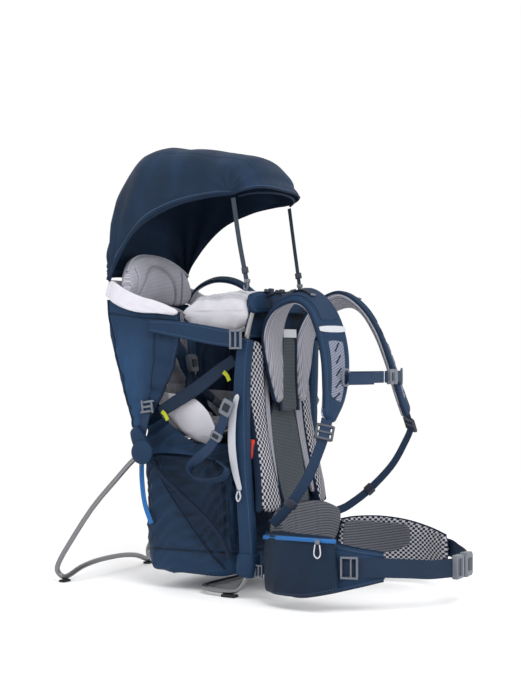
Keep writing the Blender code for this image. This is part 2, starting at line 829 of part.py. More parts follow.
def harness(carriage):
    """The padded shoulder straps, the yoke that joins them, the chest strap and the triglides."""
    for word, side in SIDES.items():
        path = smooth(mirrored(STRAP_LINE, side), 2)
        across = spread([Vector((a, side * b, side * c)) for a, b, c in STRAP_ACROSS], len(path))
        count = len(path)
        wide = STRAP_WIDTH
        padded(
            f"shoulder_strap_{word}",
            path,
            across,
            spread([0.040, 0.050, wide - 0.006, wide, wide, wide, wide - 0.004, 0.048, 0.026], count),
            spread([0.008] + [STRAP_THICK] * 7 + [0.008], count),
            NAVY,
            carriage,
            power=0.55,
        )
        end = Vector(STRAP_LINE[-1])
        block(
            f"triglide_{word}",
            (side * (end.x + 0.014), end.y, end.z - 0.023),
            (0.026, 0.006, 0.022),
            BLACK,
            carriage,
            turn=(0, side * math.radians(35), 0),
        )
        chest = [(0.128, -0.396), (0.095, -0.408), (0.052, -0.414), (CLEAR, -0.416)]
        run = smooth(mirrored([(x, y, CHEST_Z) for x, y in chest], side), 2)
        webbing(f"chest_strap_{word}", run, Z, CHEST_WEB, 0.0025, NAVY, carriage)
    block(
        "harness_yoke",
        (0, -0.1835, 0.455),
        (0.052, 0.009, 0.150),
        MESH,
        carriage,
        edge=0.003,
        turn=(math.radians(-2), 0, 0),
    )


def load_straps(root):
    """The straps between the frame and the harness: load lifters above, lower webbing below."""
    for word, side in SIDES.items():
        run = [(0.092, HEAD_Y - HEAD_DEPTH / 2 - 0.003, 0.632), (0.096, -0.222, 0.643)]
        run += [(0.097, -0.262, STRAP_CREST + STRAP_THICK / 2 + 0.0035)]
        webbing(
            f"load_lifter_{word}", smooth(mirrored(run, side), 2), X, 0.018, WEB_THICK, DARK, root
        )
        end = Vector(STRAP_LINE[-1])
        run = [(end.x + 0.019, end.y + 0.003, end.z - 0.044), (0.198, -0.338, 0.262)]
        run += [(0.181, -0.292, 0.207), (0.162, -0.250, 0.172), (0.150, -0.232, 0.160)]
        webbing(
            f"lower_webbing_{word}",
            smooth(mirrored(run, side), 2),
            X,
            LOWER_WEB,
            WEB_THICK,
            NAVY,
            root,
        )


# ---- Hip belt -----------------------------------------------------------------------------

# The hip fin's middle line on the left side, as (x, y), from the lumbar pad forwards.
FIN_LINE = [
    (0.136, -0.238),
    (0.165, -0.268),
    (FIN_HALF - 0.008, -0.320),
    (FIN_HALF, -0.380),
    (FIN_HALF - 0.010, -0.440),
    (FIN_HALF - 0.044, FIN_FRONT),
]
FIN_CENTRES = [0.088, 0.085, 0.085, 0.088, 0.090, 0.092]
FIN_HEIGHTS = [0.105, 0.122, 0.124, 0.106, 0.078, 0.052]


def hip_belt(bodies):
    """The padded fins, their webbing, the two halves of the buckle and the right fin's pocket."""
    for word, side in SIDES.items():
        body = bodies[word]
        points = [(x, y, z) for (x, y), z in zip(FIN_LINE, FIN_CENTRES)]
        path = smooth(mirrored(points, side), 2)
        count = len(path)
        padded(
            f"hip_fin_{word}",
            path,
            [Z] * count,
            spread(FIN_HEIGHTS, count),
            spread([0.016, FIN_THICK, FIN_THICK, FIN_THICK, FIN_THICK, 0.014], count),
            NAVY,
            body,
            points=10,
        )
        run = [
            (FIN_HALF - 0.052, FIN_FRONT - 0.008, 0.090),
            (0.122, -0.530, 0.086),
            (0.090, -0.560, BUCKLE_Z + 0.001),
            (0.046, BUCKLE_Y + 0.006, BUCKLE_Z),
        ]
        webbing(
            f"hip_webbing_{word}",
            smooth(mirrored(run, side), 3),
            Z,
            BELT_WEB,
            0.003,
            NAVY,
            body,
        )
    buckle(bodies)
    pocket(bodies["right"], bodies["zip"])


def buckle(bodies):
    """The female half on the left webbing, a box with a mouth, and the male half with its tongue."""
    high, deep, wall = 0.048, 0.016, 0.0035
    outer, mouth, back = 0.0, 0.030, 0.042
    bm = bmesh.new()
    sections = [
        (back, high / 2, deep / 2),
        (outer, high / 2, deep / 2),
        (outer, high / 2 - wall, deep / 2 - wall),
        (mouth, high / 2 - wall, deep / 2 - wall),
    ]
    rows = []
    for x, h, d in sections:
        rows.append([bm.verts.new((x, a * d, b * h)) for a, b in ((-1, -1), (1, -1), (1, 1), (-1, 1))])
    for low, top in zip(rows, rows[1:]):
        for i in range(4):
            bm.faces.new((low[i], low[(i + 1) % 4], top[(i + 1) % 4], top[i]))
    bm.faces.new(rows[0])
    bm.faces.new(rows[-1])
    bmesh.ops.recalc_face_normals(bm, faces=bm.faces)
    mesh = bpy.data.meshes.new("hip_buckle_socket")
    bm.to_mesh(mesh)
    bm.free()
    socket = place("hip_buckle_socket", mesh, PLASTIC, bodies["left"])
    socket.location = Vector((0.002, BUCKLE_Y, BUCKLE_Z)) - Vector(bodies["left"]["at"])
    tongue_high = high - 2 * wall - 0.008
    shape = [
        (-0.042, 0.046, 0.014),
        (-0.002, 0.046, 0.014),
        (-0.0015, tongue_high, 0.0045),
        (0.022, tongue_high - 0.006, 0.0035),
    ]
    rings = []
    for x, h, d in shape:
        ring = []
        for a, b in ((-1, -1), (1, -1), (1, 1), (-1, 1)):
            ring.append(Vector((x, BUCKLE_Y + a * d / 2, BUCKLE_Z + b * h / 2)))
        rings.append(ring)
    skin("hip_buckle_tongue", rings, PLASTIC, bodies["right"], smooth_shaded=False)


def pocket(fin, fin_zip):
    """The zipped pocket on the outside of the right fin, and its puller."""
    line = [(x, y + 0.018, 0.081) for x, y in FIN_LINE[1:4]] + [(FIN_HALF, -0.408, 0.084)]
    path = []
    for p in smooth(mirrored(line, -1), 2):
        path.append(p)
    out = []
    for i, here in enumerate(path):
        ahead = path[min(i + 1, len(path) - 1)] - path[max(i - 1, 0)]
        normal = ahead.cross(Z).normalized()
        normal = normal if normal.x < 0 else -normal
        out.append(here + normal * (FIN_THICK / 2 + POCKET_DEPTH / 2 + 0.002))
    count = len(out)
    padded(
        "hip_pocket",
        out,
        [Z] * count,
        spread([0.100, 0.122, 0.124, 0.112, 0.070], count),
        spread([0.012, POCKET_DEPTH, POCKET_DEPTH, POCKET_DEPTH - 0.006, 0.010], count),
        NAVY,
        fin,
        points=10,
        power=0.6,
    )
    side = -(FIN_HALF + FIN_THICK / 2 + POCKET_DEPTH + 0.002 + RUNNING + 0.0015)
    block("pocket_zip_puller", (side, -0.378, 0.112), (0.003, 0.008, 0.022), PLASTIC, fin_zip, 0.001)


def main():
    clear_scene()
    root = pivot("carrier", (0, 0, 0))
    root.location = CENTRING
    stand = pivot("kickstand", (0, HINGE_Y, HINGE_Z), root)
    shade = pivot("canopy", (0, CANOPY_HINGE_Y, CANOPY_HINGE_Z), root)
    half, rim_y, rim_z = CANOPY_RIBS[-1][:3]
    ties = pivot("canopy_straps", (0, rim_y, rim_z), shade)
    seat_carriage = pivot("seat", (0, 0, SEAT_Z), root)
    head_slider = pivot("headrest_slider", (0, 0.160, 0.66), root)
    carriage = pivot("harness", (0, -0.184, 0.455), root)
    fins = {
        word: pivot(f"hip_side_{word}", (side * FIN_LINE[0][0], FIN_LINE[0][1], 0.088), root)
        for word, side in SIDES.items()
    }
    puller_at = (-FIN_HALF - 0.045, -0.378, 0.112)
    fins["zip"] = pivot("pocket_zip", puller_at, fins["right"])
    loops = {
        word: pivot(f"stirrup_{word}", (side * STIRRUP_HALF, STIRRUP_Y, STIRRUP_Z), root)
        for word, side in SIDES.items()
    }
    main_frame(root)
    frame_covers(root)
    side_stays(root)
    kickstand(root, stand)
    cabin(root)
    seat(seat_carriage)
    headrest(head_slider)
    chin_pad(root)
    grab_handle(root)
    side_straps(root)
    child_harness(root)
    lower_bag(root)
    stirrups(loops)
    canopy(shade, ties)
    back_panel(root)
    harness(carriage)
    load_straps(root)
    hip_belt(fins)


main()
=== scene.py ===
"""Looks of the baby carrier backpack: fabrics, padding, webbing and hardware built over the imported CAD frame.

Shapes are drawn in metres about the carrier's middle plane, +Z up. -Y is the side the wearer stands on and -X
the wearer's right. SHIFT takes them to the row frame. Nearly every right-hand piece has a mirrored left-hand one.
"""

import math

import bpy
import numpy as np
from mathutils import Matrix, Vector


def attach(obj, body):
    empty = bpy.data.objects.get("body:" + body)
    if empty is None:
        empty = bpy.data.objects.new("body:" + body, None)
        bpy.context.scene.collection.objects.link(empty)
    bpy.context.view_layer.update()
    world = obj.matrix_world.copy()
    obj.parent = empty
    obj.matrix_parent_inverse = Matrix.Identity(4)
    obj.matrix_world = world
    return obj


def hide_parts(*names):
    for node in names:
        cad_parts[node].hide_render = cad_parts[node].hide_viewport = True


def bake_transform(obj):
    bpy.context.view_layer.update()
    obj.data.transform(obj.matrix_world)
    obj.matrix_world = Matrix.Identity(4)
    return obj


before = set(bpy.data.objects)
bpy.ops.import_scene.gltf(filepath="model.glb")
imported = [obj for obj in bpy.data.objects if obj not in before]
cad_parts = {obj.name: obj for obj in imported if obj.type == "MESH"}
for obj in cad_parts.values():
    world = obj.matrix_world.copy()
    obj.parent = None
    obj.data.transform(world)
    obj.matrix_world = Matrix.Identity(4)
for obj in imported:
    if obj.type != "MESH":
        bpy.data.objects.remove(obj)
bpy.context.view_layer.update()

SHIFT = np.array([0.0117, 0.1411, 0.0])
SIDES = {"right": -1.0, "left": 1.0}
TAU = 2 * math.pi
PIPING = 0.0026  # radius of a bound edge
FINE_PIPING = 0.0022
HARD_EDGE = 40  # degrees past which a moulded part's edge stays sharp


# ---- Shader helpers -----------------------------------------------------------------------


class Value:
    """A shader socket that adds, multiplies and compares with numbers and other values."""

    def __init__(self, tree, socket):
        self.tree, self.socket = tree, socket

    def math(self, kind, *rest, **settings):
        return node(self.tree, "ShaderNodeMath", (self, *rest), operation=kind, **settings)

    def __add__(self, other):
        return self.math("ADD", other)

    def __sub__(self, other):
        return self.math("SUBTRACT", other)

    def __mul__(self, other):
        return self.math("MULTIPLY", other)

    def __truediv__(self, other):
        return self.math("DIVIDE", other)

    def __neg__(self):
        return self.math("MULTIPLY", -1.0)

    def abs(self):
        return self.math("ABSOLUTE")

    def wave(self, period):
        """A sine from -1 to 1 with this period in metres."""
        return (self * (TAU / period)).math("SINE")

    def below(self, edge, soft):
        """1 where the value is under edge and 0 above it, with a ramp this wide."""
        return ((self * (-1.0 / soft)) + (edge / soft + 0.5)).math("ADD", 0.0, use_clamp=True)

    def above(self, edge, soft):
        """1 where the value is over edge and 0 below it, with a ramp this wide."""
        return ((self * (1.0 / soft)) + (0.5 - edge / soft)).math("ADD", 0.0, use_clamp=True)


def node(tree, kind, inputs=(), output=0, **settings):
    """Makes one shader node, and links or sets its inputs."""
    made = tree.nodes.new(kind)
    for key, value in settings.items():
        setattr(made, key, value)
    for key, value in inputs.items() if isinstance(inputs, dict) else enumerate(inputs):
        if isinstance(value, Value):
            tree.links.new(value.socket, made.inputs[key])
        else:
            made.inputs[key].default_value = value
    return Value(tree, made.outputs[output])


def mix(tree, factor, a, b):
    """The colour a where factor is 0 and b where it is 1."""
    return node(tree, "ShaderNodeMix", {0: factor, 6: a, 7: b}, 2, data_type="RGBA")


def noise(tree, scale, detail=2.0, rough=0.5, stretch=(1, 1, 1)):
    """Noise from 0 to 1 on the object's own coordinates."""
    place = node(tree, "ShaderNodeTexCoord", (), 3)
    if stretch != (1, 1, 1):
        place = node(tree, "ShaderNodeMapping", {0: place, 3: stretch})
    return node(
        tree, "ShaderNodeTexNoise", {"Vector": place, "Scale": scale, "Detail": detail, "Roughness": rough}
    )


def rgb(colour):
    """A colour with full opacity."""
    return (*colour, 1.0)


class Surface:
    """What a pattern can read: distances across, along, and from the nearest border, in metres, and the per-point
    brightness, which holds painted shade and painted light as well as panel colours.
    """

    def __init__(self, tree):
        self.tree = tree
        self.across = node(tree, "ShaderNodeAttribute", (), 2, attribute_name="across")
        self.along = node(tree, "ShaderNodeAttribute", (), 2, attribute_name="along")
        self.border = node(tree, "ShaderNodeAttribute", (), 2, attribute_name="border")
        self.tone = node(tree, "ShaderNodeAttribute", (), 2, attribute_name="tone")


def plain_weave(s):
    """A fine plain weave: threads over and under at 0.9 mm."""
    return s.across.wave(0.0018) * s.along.wave(0.0018) * 0.00008, None


def ripstop(s):
    """A fine weave with a slightly raised thread every 5 mm each way."""
    lines = s.across.wave(0.005).above(0.96, 0.06).math("MAXIMUM", s.along.wave(0.005).above(0.96, 0.06))
    height = s.across.wave(0.0012) * s.along.wave(0.0012) * 0.00005 + lines * 0.00008
    return height, lines * 0.10


def ribbed_mesh(s):
    """A spacer mesh: rounded ribs along the piece with small openings between them."""
    rib = s.across.wave(0.0058)
    cells = s.along.wave(0.0042) * s.across.wave(0.0058).abs()
    return rib * 0.00055 + cells * 0.0002, rib.below(-0.35, 0.5) * 0.62


def slant_mesh(s):
    """A mesh with ribs that cross the piece at a slant."""
    slant = s.along + s.across * 0.8
    rib = slant.wave(0.0062)
    return rib * 0.0005 + s.across.wave(0.004) * 0.0001, rib.below(-0.3, 0.6) * 0.55


def fine_mesh(s):
    """A close mesh of small round openings, two to each 6.2 mm wave."""
    cells = s.across.wave(0.0062) * s.along.wave(0.0062)
    return cells * -0.0003, cells.abs().above(0.45, 0.4) * 0.75


def coarse_mesh(s):
    """The same mesh with wider, darker holes."""
    cells = s.across.wave(0.0062) * s.along.wave(0.0062)
    return cells * -0.0003, cells.abs().above(0.38, 0.4) * 0.9


def perforated(s):
    """Foam faced with a mesh, pierced by staggered diamonds 9.8 mm apart across the piece."""
    one = (s.across + s.along * 0.72).wave(0.0098)
    two = (s.across - s.along * 0.72).wave(0.0098)
    hole = (one + two).above(0.05, 0.4)
    return -hole * 0.0012, hole * 0.97


def tape(s):
    """Webbing: close ribs across it, with a flat selvedge along both borders."""
    rib = (s.along + s.across.abs() * 0.5).wave(0.0021)
    edge = s.border.below(0.0016, 0.0006)
    return rib * 0.00016 - edge * 0.0002, edge * 0.35


def pile(s):
    """Short brushed pile."""
    return noise(
        s.tree, 900.0, 3.0, 0.7,
    ) * 0.0006 + noise(s.tree, 170.0) * 0.0007, noise(s.tree, 260.0) * 0.16


def bare(s):
    """No pattern."""
    return None, None


def finish(
    name, base, second=None, pattern=bare, rough=0.85, metal=0.0, sheen=0.0, stitch=None, mottle=0.12,
    shine=0.25, **more
):
    """A material: base colour, a second colour where the pattern opens, a slow mottle, a per-point brightness
    that carries panel colours together with painted shade and painted light, and a row of stitches.

    stitch is (distance from the border, colour). Other keyword values go straight to Principled inputs.
    """
    made = bpy.data.materials.new(name)
    made.use_nodes = True
    tree = made.node_tree
    shader = tree.nodes["Principled BSDF"]
    s = Surface(tree)
    height, opening = pattern(s)
    slow = noise(tree, 14.0, 3.0)
    # The per-point brightness scales the colour: partly panel colours, partly painted shade in seams, creases and
    # folds, and painted light.
    value = (slow - 0.5) * (2 * mottle) + s.tone + 1.0
    colour = node(tree, "ShaderNodeVectorMath", {0: base, 3: value}, 0, operation="SCALE")
    if opening is not None:
        dark = second or tuple(c * 0.35 for c in base)
        colour = mix(tree, opening, colour, rgb(dark))
    if stitch:
        offset, thread = stitch
        line = (s.border - offset).abs().below(0.0006, 0.0004) * s.along.wave(0.0052).above(-0.35, 0.4)
        colour = mix(tree, line * 0.8, colour, rgb(thread))
        seam = (s.border - offset).abs().below(0.0012, 0.0016) * -0.0004 + line * 0.0004
        height = seam if height is None else height + seam
    tree.links.new(colour.socket, shader.inputs["Base Color"])
    grain = noise(tree, 60.0, 4.0)
    roughness = (grain - 0.5) * 0.16 + rough
    tree.links.new(roughness.socket, shader.inputs["Roughness"])
    shader.inputs["Metallic"].default_value = metal
    shader.inputs["Specular IOR Level"].default_value = 0.5 if metal else shine
    shader.inputs["Sheen Weight"].default_value = sheen
    shader.inputs["Sheen Roughness"].default_value = 0.4
    for key, setting in more.items():
        shader.inputs[key.replace("_", " ").title().replace("Ior", "IOR")].default_value = setting
    if height is not None:
        bump = node(tree, "ShaderNodeBump", {"Height": height, "Distance": 1.0, "Strength": 1.0})
        tree.links.new(bump.socket, shader.inputs["Normal"])
    return made


NAVY = (0.0072, 0.0250, 0.0600)
THREAD = (0.05, 0.085, 0.15)
navy = finish("navy nylon", NAVY, pattern=ripstop, rough=0.62, mottle=0.22, shine=0.17)
navy_stitched = finish(
    "navy nylon stitched", NAVY, pattern=ripstop, rough=0.62, stitch=(0.005, THREAD), mottle=0.22,
    shine=0.17,
)
navy_dark = finish("navy lining", (0.009, 0.017, 0.034), pattern=plain_weave, rough=0.9, shine=0.1)
canopy_lining = finish(
    "canopy lining", (0.014, 0.029, 0.060), pattern=plain_weave, rough=0.85, mottle=0.2, shine=0.12,
)
binding = finish("navy binding tape", (0.006, 0.015, 0.036), pattern=tape, rough=0.7, shine=0.15)
webbing = finish("navy webbing", (0.013, 0.030, 0.066), pattern=tape, rough=0.65, shine=0.18)
webbing_dark = finish("dark webbing", (0.012, 0.017, 0.028), pattern=tape, rough=0.7, sheen=0.02)
webbing_slate = finish("slate webbing", (0.034, 0.046, 0.064), pattern=tape, rough=0.65, shine=0.18)
grey_mesh = finish("grey ribbed mesh", (0.30, 0.30, 0.345), (0.055, 0.057, 0.075), ribbed_mesh, sheen=0.05)
slant_grey = finish("grey slant mesh", (0.19, 0.21, 0.275), (0.03, 0.036, 0.06), slant_mesh, sheen=0.04)
lilac_mesh = finish("lilac grey mesh", (0.41, 0.41, 0.475), (0.12, 0.12, 0.15), fine_mesh, sheen=0.05)
tongue_mesh = finish("grey green mesh", (0.084, 0.098, 0.112), (0.010, 0.012, 0.018), coarse_mesh, shine=0.15)
shade_mesh = finish("dark ribbed mesh", (0.105, 0.110, 0.130), (0.018, 0.020, 0.028), ribbed_mesh, shine=0.15)
pierced = finish("pierced foam", (0.36, 0.36, 0.405), (0.003, 0.004, 0.006), perforated, shine=0.15)
fleece = finish(
    "pale fleece", (0.565, 0.555, 0.61), (0.42, 0.415, 0.47), pile, rough=0.95, sheen=0.12, mottle=0.05,
)
pale_cloth = finish(
    "pale grey cloth", (0.50, 0.495, 0.54), pattern=plain_weave, rough=0.9, sheen=0.06, mottle=0.06,
)
grey_cloth = finish("grey cloth", (0.34, 0.35, 0.39), pattern=plain_weave, rough=0.85, sheen=0.06)
white_band = finish("reflective band", (0.43, 0.445, 0.475), pattern=plain_weave, rough=0.42, mottle=0.05)
plastic = finish("grey plastic", (0.105, 0.118, 0.145), rough=0.42, mottle=0.05, shine=0.4)
pale_plastic = finish("pale plastic", (0.37, 0.385, 0.425), rough=0.4, mottle=0.05, shine=0.4)
black = finish("black plastic", (0.014, 0.020, 0.034), rough=0.45, mottle=0.1, shine=0.4)
metal = finish("anodised tube", (0.21, 0.21, 0.22), rough=0.34, metal=1.0, mottle=0.06)
rubber = finish("black rubber", (0.016, 0.016, 0.018), rough=0.8)
blue = finish("blue zip", (0.018, 0.125, 0.36), pattern=tape, rough=0.5)
red = finish("red tab", (0.50, 0.035, 0.018), pattern=tape, rough=0.6)
lime = finish("lime tab", (0.42, 0.47, 0.02), pattern=tape, rough=0.6)


# ---- Mesh helpers -------------------------------------------------------------------------


def spline(rows, t):
    """The Catmull-Rom curve through the rows, read at the places t, where row i is at t = i."""
    knots = np.asarray(rows, float)
    knots = np.concatenate([[2 * knots[0] - knots[1]], knots, [2 * knots[-1] - knots[-2]]])
    i = np.clip(np.floor(t).astype(int), 0, len(knots) - 4)
    f = (t - i).reshape((-1,) + (1,) * (knots.ndim - 1))
    a, b, c, d = (knots[i + k] for k in range(4))
    cubic = (3 * b - a - 3 * c + d) * f**3
    return 0.5 * (2 * b + (c - a) * f + (2 * a - 5 * b + 4 * c - d) * f**2 + cubic)


def even(rows, count):
    """Points evenly spaced along the curve through the rows. Columns after the third ride along."""
    fine = spline(rows, np.linspace(0, len(rows) - 1, 30 * len(rows)))
    run = arc(fine)
    want = np.linspace(0, run[-1], count)
    return np.stack([np.interp(want, run, column) for column in fine.T], 1)


def arc(points):
    """Length along the points so far, in metres."""
    steps = np.linalg.norm(np.diff(points[:, :3], axis=0), axis=1)
    return np.concatenate([[0.0], np.cumsum(steps)])


def unit(v):
    """Vectors scaled to length 1."""
    return v / np.maximum(np.linalg.norm(v, axis=-1, keepdims=True), 1e-12)


def flip(points, side):
    """Points drawn for the left side, or their mirror image for the right."""
    out = np.array(points, float)
    out[..., 0] *= side
    return out


def normals(g, wrap=False):
    """Unit normals of a grid of points."""
    if wrap:
        du = np.roll(g, -1, 1) - np.roll(g, 1, 1)
    else:
        du = np.gradient(g, axis=1)
    return unit(np.cross(du, np.gradient(g, axis=0)))


def ripple(p, size, seed, count=7):
    """Smooth irregular waves from -1 to 1 over the points: a sum of sines in random directions."""
    draw = np.random.default_rng(seed)
    total = np.zeros(p.shape[:-1])
    for _ in range(count):
        way = unit(draw.normal(size=3)) * TAU / (size * draw.uniform(0.7, 1.6))
        total += np.sin(p @ way + draw.uniform(0, TAU))
    return total / count**0.5


def creases(p, size, seed):
    """Rounded folds with sharp valleys, from -1 to 0."""
    return -np.abs(ripple(p, size, seed)) ** 0.6


def bell(d, width):
    """1 at d = 0, falling off over this width."""
    return np.exp(-((d / width) ** 2))


def ramp(x, low, high):
    """0 below low, 1 above high, smooth between."""
    t = np.clip((x - low) / (high - low), 0, 1)
    return t * t * (3 - 2 * t)


def to_line(p, line):
    """Distance from each point to a polyline through the given points."""
    line = np.asarray(line, float)
    best = np.full(p.shape[:-1], 1e9)
    for a, b in zip(line, line[1:]):
        t = np.clip(((p - a) @ (b - a)) / ((b - a) @ (b - a)), 0, 1)
        best = np.minimum(best, np.linalg.norm(p - (a + t[..., None] * (b - a)), axis=-1))
    return best


class Build:
    """Collects grids of points and makes one mesh object of them."""

    def __init__(self):
        self.points, self.faces, self.slots, self.facts, self.count = [], [], [], [], 0

    def grid(self, g, slot=0, across=0.0, along=0.0, border=1.0, tone=0.0, wrap=False, caps=False):
        """Adds a grid of points, closed round its columns if wrap.

        slot is a material number, or one for each face. caps closes the first and last rows.
        """
        rows, columns = g.shape[:2]
        index = np.arange(rows * columns).reshape(rows, columns) + self.count
        right = np.roll(index, -1, 1) if wrap else index[:, 1:]
        left = index if wrap else index[:, :-1]
        quads = np.stack([left[:-1], right[:-1], right[1:], left[1:]], -1)
        self.faces += quads.reshape(-1, 4).tolist()
        self.slots.append(np.broadcast_to(slot, quads.shape[:2]).reshape(-1))
        if caps:
            self.faces += [index[0, ::-1].tolist(), index[-1].tolist()]
            self.slots.append(np.array([np.ravel(slot)[0]] * 2))
        self.points.append(g.reshape(-1, 3))
        facts = [np.broadcast_to(f, (rows, columns)).reshape(-1) for f in (across, along, border, tone)]
        self.facts.append(np.stack(facts, 1))
        self.count += rows * columns
        return self

    def tube(self, path, radius, slot=0, sides=10, count=None):
        """Adds a round tube along a curve through the points."""
        p = even(path, count or max(8, 6 * len(path)))
        tangent = unit(np.gradient(p, axis=0))
        start = np.cross(tangent[0], (0.31, 0.2, 0.93))
        side = unit(start - tangent * (tangent @ start)[:, None])
        angle = np.arange(sides) * TAU / sides
        up = np.cross(tangent, side)
        ring = side[:, None] * np.cos(angle)[None, :, None] + up[:, None] * np.sin(angle)[None, :, None]
        length = arc(p)[:, None]
        return self.grid(p[:, None] + ring * radius, slot, angle * radius, length, 1.0, 0.0, True, True)

    def band(self, table, count, around=16, power=0.5, slots=(0, 0), rounded=0.0, tone=0.0, puff=None):
        """Adds a padded strip with a rounded box section.

        Table rows are x, y, z, across x, y, z, width, thickness. rounded is the length of its rounded ends.
        slots are the materials of the outward face, on the side of tangent x across, and of the inward face.
        """
        t = even(table, count)
        p, width, thick = t[:, :3], t[:, 6:7].copy(), t[:, 7:8].copy()
        length = arc(p)[:, None]
        if rounded:
            near = np.minimum(length, length[-1] - length) / rounded
            shape = np.sqrt(np.clip(1 - (1 - np.clip(near, 0, 1)) ** 2, 0.02, 1))
            width, thick = width * shape, thick * shape
        tangent = unit(np.gradient(p, axis=0))
        side = unit(t[:, 3:6] - tangent * (t[:, 3:6] * tangent).sum(1, keepdims=True))
        out = np.cross(tangent, side)
        angle = (np.arange(around) + 0.5) * TAU / around
        c, s = np.cos(angle), np.sin(angle)
        a = np.sign(c) * np.abs(c) ** power * width / 2
        b = np.sign(s) * np.abs(s) ** power * thick / 2
        g = p[:, None] + side[:, None] * a[..., None] + out[:, None] * b[..., None]
        if puff is not None:
            g = g + out[:, None] * (np.sign(s) * puff(a, np.broadcast_to(length, a.shape), width))[..., None]
        which = np.where(np.sin(angle + TAU / around / 2) >= 0, slots[0], slots[1])
        which = np.broadcast_to(which, (len(p) - 1, around))
        return self.grid(
            g, which, a, np.broadcast_to(length, a.shape), width / 2 - np.abs(a), tone, True, True,
        )

    def box(self, centre, size, slot=0, turn=(0, 0, 0), edge=0.12):
        """Adds a block with rounded corners, turned by angles in degrees about X, Y and Z."""
        steps = np.array([-1, -1 + edge, 1 - edge, 1.0])
        shrink = np.array([1 - edge * 0.7, 1.0, 1.0, 1 - edge * 0.7])
        corners = np.array(
            [[-1, -1], [-1 + edge, -1], [1 - edge, -1], [1, -1], [1, -1 + edge], [1, 1 - edge]]
        )
        ring = np.concatenate([corners, -corners])
        ring = np.sign(ring) * np.minimum(np.abs(ring), 1)
        chamfer = np.where(np.abs(ring).min(1, keepdims=True) > 0.999, 1 - edge * 0.4, 1.0)
        ring = ring * chamfer
        g = np.stack([np.column_stack([ring * k, np.full(len(ring), z)]) for z, k in zip(steps, shrink)])
        g = g * np.asarray(size) / 2
        for axis, degrees in enumerate(turn):
            c, s = math.cos(math.radians(degrees)), math.sin(math.radians(degrees))
            i, j = (axis + 1) % 3, (axis + 2) % 3
            g[..., i], g[..., j] = g[..., i] * c - g[..., j] * s, g[..., i] * s + g[..., j] * c
        return self.grid(g + np.asarray(centre), slot, g[..., 0], g[..., 1], 1.0, 0.0, True, True)

    def make(self, name, materials, body, nodes=(), slot=None, thick=0.0, inner=0, sharp=None, ride=True):
        """Makes the object on its CAD body, in place of the CAD nodes named. thick adds Solidify inwards."""
        mesh = bpy.data.meshes.new(name)
        mesh.from_pydata((np.concatenate(self.points) + SHIFT).tolist(), [], self.faces)
        mesh.polygons.foreach_set("material_index", np.concatenate(self.slots).astype(np.int32))
        facts = np.concatenate(self.facts).astype(np.float32)
        for column, word in enumerate(("across", "along", "border", "tone")):
            mesh.attributes.new(word, "FLOAT", "POINT").data.foreach_set("value", facts[:, column].copy())
        for material in materials:
            mesh.materials.append(material)
        mesh.shade_smooth()
        if sharp:
            mesh.set_sharp_from_angle(angle=math.radians(sharp))
        obj = bpy.data.objects.new(name, mesh)
        bpy.context.scene.collection.objects.link(obj)
        if thick:
            solid = obj.modifiers.new("thickness", "SOLIDIFY")
            solid.thickness, solid.offset, solid.material_offset = thick, -1.0, inner
        if ride:
            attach(obj, body)
        if nodes:
            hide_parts(*nodes)
        return obj


def rows(points, across, width, thick):
    """A band's table from points and constant or listed across, width and thickness."""
    points = np.asarray(points, float)
    across = np.broadcast_to(np.asarray(across, float), points.shape)
    sizes = [np.broadcast_to(np.asarray(v, float), (len(points),))[:, None] for v in (width, thick)]
    return np.hstack([points, across, *sizes])


def mirror_rows(table, side):
    """A band's table for the left side, or its mirror image for the right."""
    out = np.array(table, float)
    out[:, 0] *= side
    out[:, 4:6] *= side
    return out


# ---- Canopy -------------------------------------------------------------------------------

CANOPY_RIBS = [
    (0.150, 0.184, 0.675, 0.214, 0.690),
    (0.151, 0.172, 0.708, 0.223, 0.765),
    (0.151, 0.150, 0.742, 0.219, 0.845),
    (0.150, 0.120, 0.778, 0.203, 0.910),
    (0.147, 0.080, 0.808, 0.165, 0.966),
    (0.144, 0.040, 0.827, 0.100, 0.980),
    (0.139, -0.005, 0.840, 0.025, 0.973),
    (0.134, -0.045, 0.847, -0.045, 0.963),
    (0.130, -0.085, 0.851, -0.108, 0.948),
    (0.127, -0.105, 0.852, -0.146, 0.924),
    (0.126, -0.119, 0.853, -0.176, 0.872),
]


def canopy_grid(columns, rows_):
    """Points of the canopy: each rib an arch from the right rim over the ridge to the left rim."""
    rib = spline(CANOPY_RIBS, np.linspace(0, len(CANOPY_RIBS) - 1, rows_))
    half, rim_y, rim_z, top_y, top_z = (rib[:, i : i + 1] for i in range(5))
    angle = np.linspace(0, math.pi, columns)
    lift = np.sin(angle) ** 0.75
    x = -half * np.sign(np.cos(angle)) * np.abs(np.cos(angle)) ** 0.85
    return np.stack([x, rim_y + (top_y - rim_y) * lift, rim_z + (top_z - rim_z) * lift], -1)


